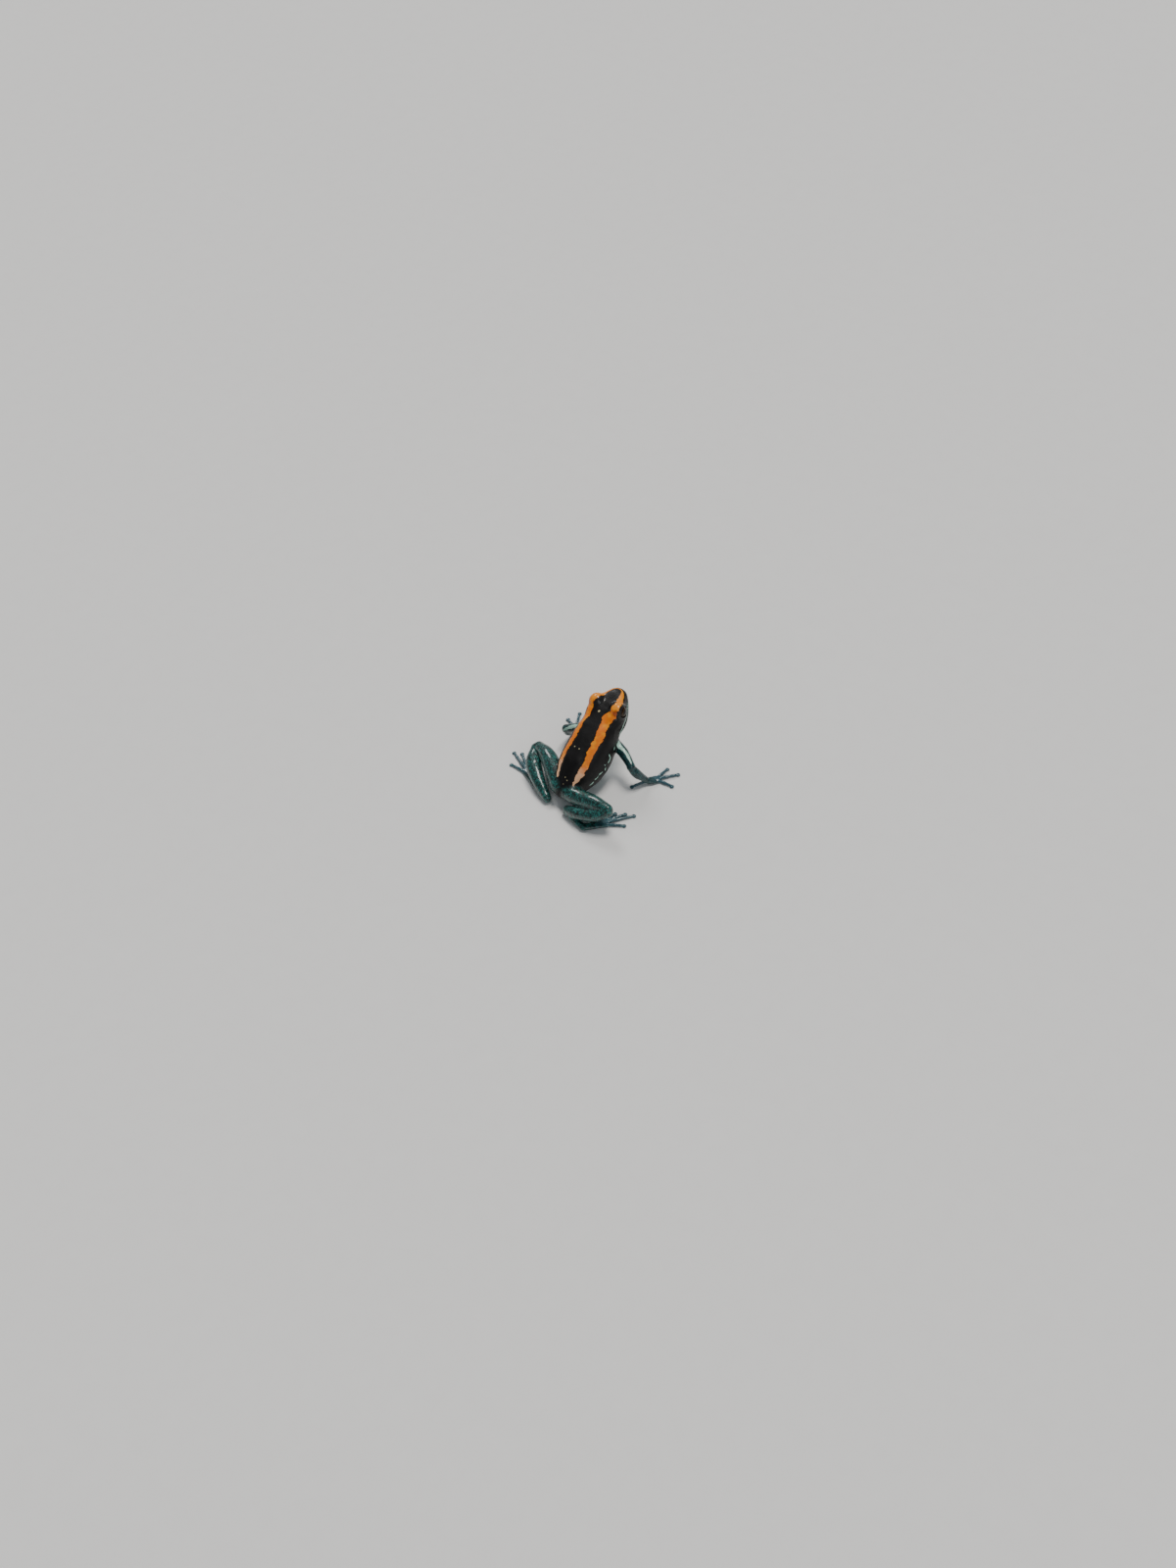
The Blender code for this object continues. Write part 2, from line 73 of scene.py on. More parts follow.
@dataclass(frozen=True)
class BodyFrame:
    """The frog's frames in millimetres: the body's (f, r, z) and the trunk's (s, r, h).

    The trunk's own axis runs from the vent to the snout tip, tipped up by the pitch. s is the
    distance along it from the vent and h the height above it.
    """

    snout_vent: float = 27.0
    pitch: float = math.radians(27.3)
    vent_f: float = 1.0
    vent_z: float = 2.75
    origin_f: float = 11.4
    origin_r: float = 0.9

    def to_trunk(self, points: Points) -> Points:
        """Turns body points into trunk points.

        Args:
            points: (n, 3) places as f, r, z.

        Returns:
            (n, 3) places as s, r, h: the points turned by the pitch about the vent.
        """
        c, s = math.cos(self.pitch), math.sin(self.pitch)
        f, z = points[:, 0] - self.vent_f, points[:, 2] - self.vent_z
        return np.stack([f * c + z * s, points[:, 1], z * c - f * s], 1)

    def from_trunk(self, points: Points) -> Points:
        """Turns trunk points back into body points.

        Args:
            points: (n, 3) places as s, r, h.

        Returns:
            (n, 3) places as f, r, z.
        """
        c, s = math.cos(self.pitch), math.sin(self.pitch)
        along, high = points[:, 0], points[:, 2]
        f, z = along * c - high * s, along * s + high * c
        return np.stack([f + self.vent_f, points[:, 1], z + self.vent_z], 1)

    def to_world(self, points: Points) -> Points:
        """Gives the row frame's metres: the frog faces -Y and its right side is -X."""
        x, y = -(points[:, 1] + self.origin_r), -(points[:, 0] - self.origin_f)
        return np.stack([x, y, points[:, 2]], 1) * MM


BODY = BodyFrame()


def smooth_min(a: Values, b: Values, width: Values | float) -> Values:
    """Joins two distance fields with a fillet.

    Args:
        a: distances to the first shape.
        b: distances to the second shape.
        width: how far apart the two may be where the fillet starts.

    Returns:
        The smaller distance, less a quarter of the width times the square of their closeness.
    """
    close = np.clip(1.0 - np.abs(a - b) / width, 0.0, 1.0)
    return np.minimum(a, b) - 0.25 * width * close * close


def smooth_max(a: Values, b: Values, width: Values | float) -> Values:
    """Cuts one distance field by another with a rounded edge, the mirror of smooth_min."""
    return -smooth_min(-a, -b, width)


def ramp(low: float, high: float, x: Values) -> Values:
    """Rises smoothly from 0 at low to 1 at high, as 3t^2 - 2t^3 of the share t of the way."""
    t = np.clip((x - low) / (high - low), 0.0, 1.0)
    return t * t * (3.0 - 2.0 * t)


def bell(x: Values, width: float) -> Values:
    """A bell curve, 1 at x = 0 and about a third at the width: e to the -(x / width)^2."""
    return np.exp(-((x / width) ** 2))


def between(x: Values, start: float, full: float, last: float, end: float) -> Values:
    """Rises smoothly from 0 at start to 1 at full, and falls again from last to 0 at the end."""
    return ramp(start, full, x) * (1.0 - ramp(last, end, x))


def ridges(x: Values, rows: Rows) -> Values:
    """Adds up low ridges: each row's height times a bell, of its width, round its place on x."""
    return sum(height * bell(x - place, width) for place, height, width in rows)


def oval(x: Values, y: Values, form: Form) -> Values:
    """Gives a low oval swelling: its height times a bell of the way from its middle, in radii."""
    middle_x, middle_y, radius_x, radius_y, height = form
    return height * bell(np.hypot((x - middle_x) / radius_x, (y - middle_y) / radius_y), 1.0)


def monotone(x: Values, y: Values, at: Values) -> Values:
    """Draws a curve through a table that never overshoots it.

    Args:
        x: rising places of the table.
        y: (n, columns) values there.
        at: places to read.

    Returns:
        (len(at), columns) values of the cubic whose slopes are the harmonic means of the table's.
    """
    step = np.diff(x)[:, None]
    slope = np.diff(y, axis=0) / step
    before, after = slope[:-1], slope[1:]
    agree = before * after > 0.0
    mean = np.where(agree, 2.0 * before * after / np.where(agree, before + after, 1.0), 0.0)
    tangent = np.concatenate([slope[:1], mean, slope[-1:]])
    i = np.clip(np.searchsorted(x, at, side="right") - 1, 0, len(x) - 2)
    h = step[i]
    t = ((at - x[i]) / step[i, 0])[:, None]
    return (
        (2 * t**3 - 3 * t**2 + 1) * y[i]
        + (t**3 - 2 * t**2 + t) * h * tangent[i]
        + (3 * t**2 - 2 * t**3) * y[i + 1]
        + (t**3 - t**2) * h * tangent[i + 1]
    )


def through(stations: Points, samples: int) -> Points:
    """Draws a Catmull-Rom curve through stations.

    Args:
        stations: (n, columns) rows that the curve passes, the first three columns a place.
        samples: the number of steps between two stations.

    Returns:
        ((n - 1) * samples + 1, columns) rows along the curve.
    """
    first, last = 2 * stations[:1] - stations[1:2], 2 * stations[-1:] - stations[-2:-1]
    ends = np.concatenate([first, stations, last])
    a, b, c, d = (part[:, None, :] for part in (ends[:-3], ends[1:-2], ends[2:-1], ends[3:]))
    t = np.arange(samples)[None, :, None] / samples
    curve = 2 * b + (c - a) * t + (2 * a - 5 * b + 4 * c - d) * t**2 + (3 * b - 3 * c + d - a) * t**3
    return np.concatenate([0.5 * curve.reshape(-1, stations.shape[1]), stations[-1:]])


def outwards(local: Points) -> Points:
    """Folds trunk points onto one side of the frog, with r counted outwards."""
    return np.stack([local[:, 0], np.abs(local[:, 1]), local[:, 2]], 1)


def unit(vectors: Points) -> Points:
    """Scales each row to length 1."""
    return vectors / np.maximum(np.linalg.norm(vectors, axis=-1, keepdims=True), 1e-9)


@dataclass
class Line:
    """A fine polyline in space that can tell the nearest place on it."""

    places: Points

    def nearest(self, points: Points) -> tuple[Values, Values, Points]:
        """Finds the nearest place on the line for each point.

        Args:
            points: (n, 3) places.

        Returns:
            The step of the line, the share of the way along it, and the way from there to the point.
        """
        gap = (self.places**2).sum(1) - 2.0 * points @ self.places.T
        near = gap.argmin(1)
        tries = [self._on_step(points, np.clip(near - k, 0, len(self.places) - 2)) for k in (0, 1)]
        first, second = ((way**2).sum(1) for _, _, way in tries)
        nearer = first <= second
        step, share = (np.where(nearer, tries[0][k], tries[1][k]) for k in (0, 1))
        return step, share, np.where(nearer[:, None], tries[0][2], tries[1][2])

    def _on_step(self, points: Points, step: Values) -> tuple[Values, Values, Points]:
        """Drops each point square onto its own step of the line, and no further than its ends.

        Args:
            points: (n, 3) places.
            step: (n,) numbers of the steps.

        Returns:
            What nearest returns, for these steps.
        """
        leg = self.places[step + 1] - self.places[step]
        miss = points - self.places[step]
        share = np.clip((miss * leg).sum(1) / np.maximum((leg**2).sum(1), 1e-12), 0.0, 1.0)
        return step, share, miss - share[:, None] * leg


@dataclass
class Limb:
    """A length of limb or a digit: an ellipse carried along a smooth line, with rounded ends.

    The field at a point is (q - 1) q / g, where q is the point's place in the ellipse there, 1 on the
    skin, and g the length of its steepest rise, so it is close to the true distance. A digit's pad
    has a groove along its top, given by depth and width. It fades in towards the tip, by stations
    counted from there, and towards the top. Away by more than the margin, the field is FAR.
    """

    stations: Rows
    samples: int = 7
    digit: bool = False
    scute_groove: Pair = (0.06, 0.09)
    pad_fade: Pair = (-1.6, -1.2)
    top_fade: Pair = (0.2, 0.7)
    margin: float = 2.2
    thinnest: float = 0.05
    places: Points = field(init=False)

    def __post_init__(self) -> None:
        """Draws the line and the ellipse's own axes along it: sideways is level, the other is square."""
        rows = through(np.array(self.stations, float), self.samples)
        self.places, self.sizes = rows[:, :3], np.maximum(rows[:, 3:5], self.thinnest)
        self.heading = unit(np.gradient(self.places, axis=0))
        self.across = unit(np.cross(self.heading, (0.0, 0.0, 1.0)))
        self.over = np.cross(self.across, self.heading)
        reach = self.sizes.max() + self.margin
        self.low, self.high = self.places.min(0) - reach, self.places.max(0) + reach
        self.line = Line(self.places)

    def distance(self, points: Points) -> Values:
        """Gives the distance to this length of limb, or FAR well away from it.

        Args:
            points: (n, 3) body points.

        Returns:
            (n,) distances, less than 0 inside.
        """
        out = np.full(len(points), FAR)
        near = np.nonzero(((points > self.low) & (points < self.high)).all(1))[0]
        if not len(near):
            return out
        step, share, miss = self.line.nearest(points[near])
        share = share[:, None]
        size = self.sizes[step] * (1 - share) + self.sizes[step + 1] * share
        around = (self.across, self.over, self.heading)
        axes = [axis[step] * (1 - share) + axis[step + 1] * share for axis in around]
        end = size[:, 0] if self.digit else size.min(1)
        radii = (size[:, 0], size[:, 1], end)
        parts = [(miss * axis).sum(1) / radius for axis, radius in zip(axes, radii)]
        q = np.sqrt(sum(p * p for p in parts)) + 1e-6
        rise = np.sqrt(sum((p / radius) ** 2 for p, radius in zip(parts, radii))) + 1e-6
        d = (q - 1.0) * q / rise
        if self.digit:
            depth, width = self.scute_groove
            from_tip = (step + share[:, 0]) / self.samples - len(self.stations)
            pad = ramp(*self.pad_fade, from_tip) * ramp(*self.top_fade, parts[1])
            d += depth * pad * bell(parts[0] * radii[0], width)
        out[near] = np.minimum(d, FAR)
        return out


@dataclass
class Trunk:
    """Head and body: a superellipse carried along the straight axis from the vent to the snout.

    Each row of the table is s, half width, top, bottom, height of the widest line and squareness of
    the upper half. The field is (q - 1) / g, with q the superellipse's measure, 1 on the skin.
    """

    table: Rows = (
        (0.00, 0.00, 0.00, 0.00, 0.00, 2.0),
        (0.12, 0.85, 0.55, -0.60, 0.00, 2.0),
        (0.60, 1.60, 1.05, -1.20, 0.00, 2.0),
        (1.60, 2.35, 1.60, -2.00, -0.05, 2.1),
        (3.00, 3.20, 2.25, -3.45, -0.70, 2.2),
        (5.00, 4.05, 3.00, -4.85, -1.30, 2.2),
        (8.00, 4.95, 3.60, -6.00, -1.60, 2.2),
        (11.00, 5.25, 3.70, -6.15, -1.55, 2.2),
        (14.00, 5.10, 3.60, -5.50, -1.20, 2.3),
        (16.50, 4.65, 3.35, -4.30, -0.80, 2.4),
        (18.20, 4.45, 3.15, -3.45, -0.65, 2.5),
        (19.50, 4.55, 3.00, -3.10, -0.70, 2.7),
        (21.00, 4.45, 2.80, -2.80, -0.70, 2.9),
        (22.50, 4.00, 2.55, -2.50, -0.65, 3.0),
        (24.00, 3.25, 2.25, -2.10, -0.50, 3.0),
        (25.30, 2.45, 1.90, -1.70, -0.30, 2.8),
        (26.30, 1.65, 1.35, -1.25, -0.10, 2.5),
        (26.80, 1.00, 0.85, -0.80, 0.00, 2.2),
        (27.00, 0.00, 0.05, -0.05, 0.00, 2.0),
    )
    lower_square: float = 2.3
    thinnest: float = 0.06
    samples: int = 1081

    def __post_init__(self) -> None:
        """Reads the table finely once, the sizes as squares so that both ends close round."""
        rows = np.array(self.table)
        rows[:, 1:4] = np.sign(rows[:, 1:4]) * rows[:, 1:4] ** 2
        self.fine_s = np.linspace(0.0, BODY.snout_vent, self.samples)
        fine = monotone(rows[:, 0], rows[:, 1:], self.fine_s)
        fine[:, :3] = np.sign(fine[:, :3]) * np.sqrt(np.abs(fine[:, :3]))
        self.fine = fine

    def section(self, s: Values) -> list[Values]:
        """Reads half width, top, bottom, widest line and squareness at s."""
        return [np.interp(s, self.fine_s, self.fine[:, k]) for k in range(5)]

    def distance(self, local: Points) -> Values:
        """Gives the distance to the plain trunk.

        Args:
            local: (n, 3) trunk points.

        Returns:
            (n,) distances, less than 0 inside.
        """
        s, r, h = local.T
        width, top, bottom, line, square = self.section(s)
        above = h > line
        reach = np.maximum(np.where(above, top - line, line - bottom), self.thinnest)
        width = np.maximum(width, self.thinnest)
        power = np.where(above, square, self.lower_square)
        x, y = np.abs(r) / width + 1e-4, np.abs(h - line) / reach + 1e-4
        q = (x**power + y**power) ** (1.0 / power)
        rise = np.hypot((x / q) ** (power - 1) / width, (y / q) ** (power - 1) / reach)
        ends = np.maximum(-s, s - BODY.snout_vent)
        return np.maximum((q - 1.0) / rise, ends)


@dataclass
class Head:
    """The head's own forms, added to the trunk's field: lids, openings, ears, nostrils and mouth.

    All places are trunk places, the same on both sides, with r counted outwards. A ridge's row is
    place, height and width, an oval's is middle, radii and height, and a hollow's height is negative.
    The ear drum's hollow is its inner and outer radius and depth, the lid's seam its height, lean and
    bend. Each fade is where a form starts and where it is full.
    """

    eye: Triple = (22.05, 2.83, 1.74)
    eye_radius: float = 1.61
    eye_axis: Triple = (0.30, 1.0, 0.10)
    eye_dip: float = 0.16
    brow: Triple = (21.15, 2.55, 1.24)
    brow_radii: Triple = (2.7, 1.85, 1.66)
    brow_fillet: float = 1.1
    lid_radius: float = 1.83
    lid_crown: float = 0.16
    lid_fillet: float = 0.45
    seam_line: Triple = (1.02, 0.10, 0.16)
    seam_depth: float = 0.05
    seam_width: float = 0.10
    opening: Pair = (1.33, 1.13)
    opening_drop: float = 0.12
    opening_slant: float = 0.05
    opening_floor: float = 0.45
    lid_edge: float = 0.16
    lid_rim: Rows = ((0.12, 0.045, 0.13),)
    tympanum: Pair = (19.25, 0.28)
    tympanum_hollow: Triple = (0.50, 0.66, 0.10)
    tympanum_rim: Rows = ((0.72, 0.05, 0.10),)
    nostril: Triple = (26.05, 1.70, 0.62)
    nostril_rims: Rows = ((0.0, -0.30, 0.17), (0.33, 0.07, 0.12))
    mouth_corner: float = 18.75
    mouth_front: float = -0.35
    mouth_fall: float = 1.15
    lips: Rows = ((0.0, -0.15, 0.085), (0.30, 0.07, 0.22), (-0.28, 0.05, 0.20))
    neck_fold: Form = (18.9, 1.25, 1.9, 0.32, 0.12)
    neck_bend: float = 0.13
    cheek: Form = (24.3, 0.25, 0.95, 0.65, -0.13)
    crown: Form = (24.6, 0.2, 1.6, 0.9, -0.05)
    start: float = 15.0
    gape_fade: Pair = (18.65, 19.95)
    side_fade: Pair = (2.6, 3.4)
    cheek_fade: Pair = (1.6, 2.4)
    crown_fade: Pair = (0.5, 1.5)
    lid_fade: Pair = (0.2, 1.0)
    seam_fade: Pair = (0.0, 0.6)
    seam_reach: Pair = (0.02, 0.3)
    rim_fade: Pair = (0.5, 1.0)

    def mouth_height(self, s: Values) -> Values:
        """Gives the height of the mouth line, falling to the corner, ever less steeply with back**0.7."""
        back = np.clip((BODY.snout_vent - s) / (BODY.snout_vent - self.mouth_corner), 0.0, 1.3)
        return self.mouth_front - self.mouth_fall * back**0.7

    def eye_axes(self) -> Points:
        """Gives the eye's own axes in the trunk frame.

        Returns:
            (3, 3) rows: forward along the opening and dipping a little, upward, and outward.
        """
        out = np.array(self.eye_axis) / np.linalg.norm(self.eye_axis)
        level = np.array([math.cos(self.eye_dip), 0.0, -math.sin(self.eye_dip)])
        along = level - out * (level @ out)
        along /= np.linalg.norm(along)
        up = np.cross(out, along)
        up *= np.sign(up[2])
        return np.stack([along, up, out])

    def from_eye(self, p: Points) -> Points:
        """Gives the ways from the eye's middle along its own axes: forward, upward and outward."""
        return (p - np.array(self.eye)) @ self.eye_axes().T

    def shape(self, d: Values, local: Points) -> Values:
        """Adds the head's forms to the trunk's field.

        Args:
            d: the trunk's distances.
            local: (n, 3) trunk points.

        Returns:
            The distances with the lids raised, the eyes opened and the small forms pressed in.
        """
        out = d.copy()
        near = np.nonzero(local[:, 0] > self.start)[0]
        if not len(near):
            return out
        p = outwards(local[near])
        out[near] = self._open_eyes(self._lids(self._face(d[near], p), p), p)
        return out

    def _face(self, d: Values, p: Points) -> Values:
        """Presses in the mouth line, ears, nostrils, cheeks and crown, and raises lips, rims and folds.

        Args:
            d: the distances so far.
            p: (n, 3) trunk points, with r outwards.

        Returns:
            The distances with each form taken off, faded in where its side or top of the head begins.
        """
        s, r, h = p.T
        gape = ramp(*self.gape_fade, s)
        d = d - gape * ridges(h - self.mouth_height(s), self.lips)
        side = ramp(*self.side_fade, r)
        ear = np.hypot(s - self.tympanum[0], h - self.tympanum[1])
        inner, outer, depth = self.tympanum_hollow
        d = d + side * (depth * (1 - ramp(inner, outer, ear)) - ridges(ear, self.tympanum_rim))
        d = d - side * oval(s, h + self.neck_bend * (s - self.neck_fold[0]) ** 2, self.neck_fold)
        d = d - ridges(np.linalg.norm(p - np.array(self.nostril), axis=1), self.nostril_rims)
        d = d - ramp(*self.cheek_fade, r) * oval(s, h, self.cheek)
        return d - ramp(*self.crown_fade, h) * oval(s, r, self.crown)

    def _lids(self, d: Values, p: Points) -> Values:
        """Raises the brow and the lids over the eyeball, an ellipsoid and a sphere joined softly.

        Args:
            d: the distances so far.
            p: (n, 3) trunk points, with r outwards.

        Returns:
            The distances, with a fine seam across the upper lid: its height, lean and bend are given.
        """
        radii = np.array(self.brow_radii)
        q = (p - np.array(self.brow)) / radii
        length = np.linalg.norm(q, axis=1) + 1e-6
        rise = np.linalg.norm(q / radii, axis=1) + 1e-6
        d = smooth_min(d, (length - 1.0) * length / rise, self.brow_fillet)
        away = self.from_eye(p)
        along, up, out = away.T
        ball = np.linalg.norm(away, axis=1)
        crowned = self.lid_crown * ramp(*self.lid_fade, up / np.maximum(ball, 1e-6))
        lid = ball - (self.lid_radius + crowned)
        d = smooth_min(d, lid, self.lid_fillet)
        high, lean, bend = self.seam_line
        seam = bell(up - high - lean * out + bend * along**2, self.seam_width)
        lift, reach = self.seam_reach
        return d + self.seam_depth * seam * bell(lid + lift, reach) * ramp(*self.seam_fade, out)

    def _open_eyes(self, d: Values, p: Points) -> Values:
        """Cuts the almond opening between the lids: an ellipse carried out along the eye's axis.

        Args:
            d: the distances so far.
            p: (n, 3) trunk points, with r outwards.

        Returns:
            The distances, with a low rim round the opening and a rounded edge.
        """
        along, up, out = self.from_eye(p).T
        up = up + self.opening_drop + self.opening_slant * along
        wide, tall = self.opening
        q = np.hypot(along / wide, up / tall) + 1e-6
        wall = (q - 1.0) * q / (np.hypot(along / wide**2, up / tall**2) + 1e-6)
        d = d - ridges(wall, self.lid_rim) * ramp(*self.rim_fade, out)
        return smooth_max(d, -np.maximum(wall, self.opening_floor - out), self.lid_edge)


@dataclass
class Back:
    """The low forms of the back: midline furrow, tail ridge, hip bones and humps, shoulder blades.

    A long form's row is height, width and the four places along s of its rise and fall. An oval's is
    middle, radii and height. A hollow's height is negative. Each fade is where forms start and are
    full, up the back or out to the side.
    """

    furrow: tuple[float, ...] = (-0.035, 0.55, 8.5, 10.5, 17.0, 19.0)
    tail_ridge: tuple[float, ...] = (0.05, 0.55, 0.5, 2.0, 7.2, 8.6)
    hip_bone: tuple[float, ...] = (0.10, 0.42, 1.2, 3.0, 8.0, 10.0)
    hip_line: Pair = (0.55, 0.15)
    hip_hump: Form = (8.4, 1.3, 1.3, 1.0, 0.12)
    shoulder_blade: Form = (16.2, 2.5, 1.3, 1.0, 0.14)
    flank: Form = (4.6, -0.4, 1.1, 1.6, -0.15)
    top_fade: Pair = (0.6, 2.0)
    side_fade: Pair = (2.0, 3.0)

    def shape(self, d: Values, local: Points) -> Values:
        """Adds the back's forms to the trunk's field.

        Args:
            d: the trunk's distances.
            local: (n, 3) trunk points.

        Returns:
            The distances less the forms, each a bell across. The hip bones spread away from the vent.
        """
        s, r, h = local.T
        side = np.abs(r)
        bone = side - self.hip_line[0] - self.hip_line[1] * s
        raised = oval(s, side, self.hip_hump) + oval(s, side, self.shoulder_blade)
        for across, form in ((r, self.furrow), (r, self.tail_ridge), (bone, self.hip_bone)):
            raised += form[0] * bell(across, form[1]) * between(s, *form[2:])
        d = d - ramp(*self.top_fade, h) * raised
        return d - ramp(*self.side_fade, side) * oval(s, h, self.flank)


@dataclass
class Join:
    """How two lengths of limb run into each other: a wide fillet at the joint, a tight crease away."""

    place: Triple
    reach: float
    wide: float
    tight: float = 0.12

    def width(self, points: Points) -> Values:
        """Gives the fillet's width at each point, a bell round the joint."""
        away = np.linalg.norm(points - np.array(self.place), axis=1)
        return self.tight + (self.wide - self.tight) * bell(away, self.reach)


def digit_rows(base: Pair, heading: float, length: float) -> Rows:
    """Lays out one finger or toe: slender between low knuckles, with a broad flat pad at the tip.

    Args:
        base: f and r of its root.
        heading: degrees from straight ahead towards the frog's right.
        length: from the root to the tip.

    Returns:
        Stations as f, r, z, half width and half height, the root sunk in the palm.
    """
    shape = (
        (-1.15, 0.42, 0.34, 0.42),
        (0.08 * length, 0.33, 0.31, 0.43),
        (0.34 * length, 0.36, 0.34, 0.42),
        (0.52 * length, 0.30, 0.29, 0.38),
        (0.70 * length, 0.33, 0.31, 0.34),
        (length - 0.95, 0.29, 0.26, 0.28),
        (length - 0.52, 0.50, 0.29, 0.22),
    )
    turn = math.radians(heading)
    ahead, right = math.cos(turn), math.sin(turn)
    return tuple((base[0] + a * ahead, base[1] + a * right, lift, w, t) for a, w, t, lift in shape)


@dataclass
class Member:
    """An arm or a leg: its lengths in order, the joins between them, and its digits.

    A length's rows are f, r, z, half width and half height. A digit is f and r of its root, its
    heading and its length. The palm's and the webs' numbers are the widths of their fillets.
    """

    lengths: tuple[Rows, ...]
    joins: tuple[Join, ...]
    root: Join
    digits: Rows
    palm: float = 0.3
    web: float = 0.16

    def __post_init__(self) -> None:
        """Makes a Limb of each length and digit."""
        self.limbs = [Limb(rows) for rows in self.lengths]
        self.rays = [Limb(digit_rows(d[:2], d[2], d[3]), 5, True) for d in self.digits]

    def distance(self, points: Points) -> Values:
        """Gives the distance to the whole arm or leg, its lengths joined one after another.

        Args:
            points: (n, 3) body points.

        Returns:
            (n,) distances.
        """
        d = self.limbs[0].distance(points)
        for limb, join in zip(self.limbs[1:], self.joins):
            d = smooth_min(d, limb.distance(points), join.width(points))
        return smooth_min(d, self.hand(points), self.palm)

    def hand(self, points: Points) -> Values:
        """Gives the distance to the digits alone, joined with small webs at their roots.

        Args:
            points: (n, 3) body points.

        Returns:
            (n,) distances.
        """
        d = np.full(len(points), FAR)
        for ray in self.rays:
            d = smooth_min(d, ray.distance(points), self.web)
        return d


RIGHT_LEG = Member(
    lengths=(
        (
            (2.7, 1.6, 3.7, 1.9, 1.8), (2.4, 5.0, 4.05, 1.95, 1.9),
            (2.2, 9.2, 5.1, 1.7, 1.7), (2.0, 12.8, 5.7, 1.15, 1.15),
        ),
        (
            (1.7, 13.0, 5.1, 1.1, 1.1), (0.4, 10.1, 3.8, 1.5, 1.4),
            (-0.3, 6.2, 2.6, 1.35, 1.3), (-0.2, 3.0, 1.7, 0.95, 0.95),
        ),
        ((-0.3, 2.8, 1.1, 0.9, 0.9), (-1.0, 5.6, 0.9, 0.82, 0.74), (-1.5, 8.5, 0.7, 0.95, 0.6)),
        ((-1.5, 8.5, 0.7, 0.95, 0.6), (0.2, 9.8, 0.55, 1.05, 0.52), (2.3, 11.4, 0.36, 1.28, 0.44)),
    ),
    joins=(
        Join((1.9, 13.0, 5.4), 1.3, 0.9),
        Join((-0.2, 2.8, 1.4), 0.9, 0.7),
        Join((-1.5, 8.5, 0.7), 1.0, 0.5),
    ),
    root=Join((2.7, 2.2, 3.8), 2.3, 1.5, 0.2),
    digits=(
        (1.6, 10.2, -14, 2.6), (2.5, 10.8, 13, 3.5), (2.7, 11.3, 29, 4.8),
        (2.7, 11.8, 38, 6.1), (1.9, 12.0, 60, 4.2),
    ),
)

LEFT_LEG = Member(
    lengths=(
        (
            (2.9, -1.5, 4.2, 1.9, 1.9), (5.3, -4.7, 4.9, 2.05, 2.05),
            (7.6, -8.4, 5.2, 1.75, 1.75), (8.9, -11.8, 4.8, 1.2, 1.2),
        ),
        (
            (8.5, -12.5, 4.2, 1.2, 1.2), (5.3, -10.6, 3.4, 1.8, 1.7),
            (2.6, -7.1, 2.5, 1.55, 1.45), (0.55, -3.5, 1.4, 0.95, 0.95),
        ),
        ((0.4, -3.2, 1.0, 0.9, 0.9), (1.3, -6.1, 0.9, 0.82, 0.74), (2.9, -9.0, 0.7, 0.95, 0.6)),
        ((2.9, -9.0, 0.7, 0.95, 0.6), (3.9, -10.8, 0.55, 1.05, 0.52), (5.0, -12.9, 0.36, 1.28, 0.44)),
    ),
    joins=(
        Join((8.9, -12.2, 4.4), 1.3, 0.9),
        Join((0.5, -3.2, 1.2), 0.9, 0.7),
        Join((2.9, -9.0, 0.7), 1.0, 0.5),
    ),
    root=Join((2.9, -2.2, 4.3), 2.3, 1.5, 0.2),
    digits=(
        (5.2, -11.8, -10, 2.6), (5.8, -12.7, -37, 3.5), (5.6, -13.4, -54, 4.8),
        (5.1, -13.6, -65, 6.0), (4.2, -13.1, -88, 4.2),
    ),
)

LEGS = (RIGHT_LEG, LEFT_LEG)

RIGHT_ARM = Member(
    lengths=(
        ((16.9, 2.9, 7.4, 1.2, 1.25), (16.1, 6.1, 6.75, 1.15, 1.15), (14.6, 9.3, 5.7, 0.85, 0.85)),
        ((14.4, 9.4, 5.4, 0.85, 0.85), (14.9, 10.4, 3.6, 1.05, 1.0), (16.2, 11.7, 1.25, 0.65, 0.62)),
        ((16.1, 11.6, 1.05, 0.65, 0.62), (17.0, 12.3, 0.66, 1.0, 0.58), (18.2, 13.1, 0.38, 1.05, 0.46)),
    ),
    joins=(Join((14.4, 9.5, 5.5), 1.0, 0.8), Join((16.1, 11.6, 1.1), 0.8, 0.4)),
    root=Join((16.9, 3.9, 7.2), 1.8, 1.3, 0.2),
    digits=(
        (17.2, 11.8, -150, 4.7), (18.4, 12.8, 4, 3.9),
        (18.5, 13.2, 40, 4.8), (18.0, 13.6, 84, 3.8),
    ),
)

LEFT_ARM = Member(
    lengths=(
        ((17.0, -2.9, 7.6, 1.2, 1.25), (16.7, -6.3, 6.9, 1.15, 1.15), (15.9, -9.7, 5.7, 0.85, 0.85)),
        (
            (15.8, -9.8, 5.4, 0.85, 0.85), (16.9, -10.3, 3.5, 1.05, 1.0),
            (18.8, -10.9, 1.25, 0.65, 0.62),
        ),
        ((18.6, -10.8, 1.0, 0.62, 0.6), (19.7, -11.2, 0.62, 0.95, 0.52), (20.9, -11.8, 0.38, 1.0, 0.46)),
    ),
    joins=(Join((15.7, -9.8, 5.5), 1.0, 0.8), Join((18.7, -10.9, 1.1), 0.8, 0.4)),
    root=Join((17.0, -3.9, 7.4), 1.8, 1.3, 0.2),
    digits=(
        (20.6, -11.3, 34, 3.5), (21.1, -11.6, 2, 3.3),
        (21.2, -12.0, -28, 4.5), (20.7, -12.3, -66, 3.4),
    ),
)

ARMS = (RIGHT_ARM, LEFT_ARM)


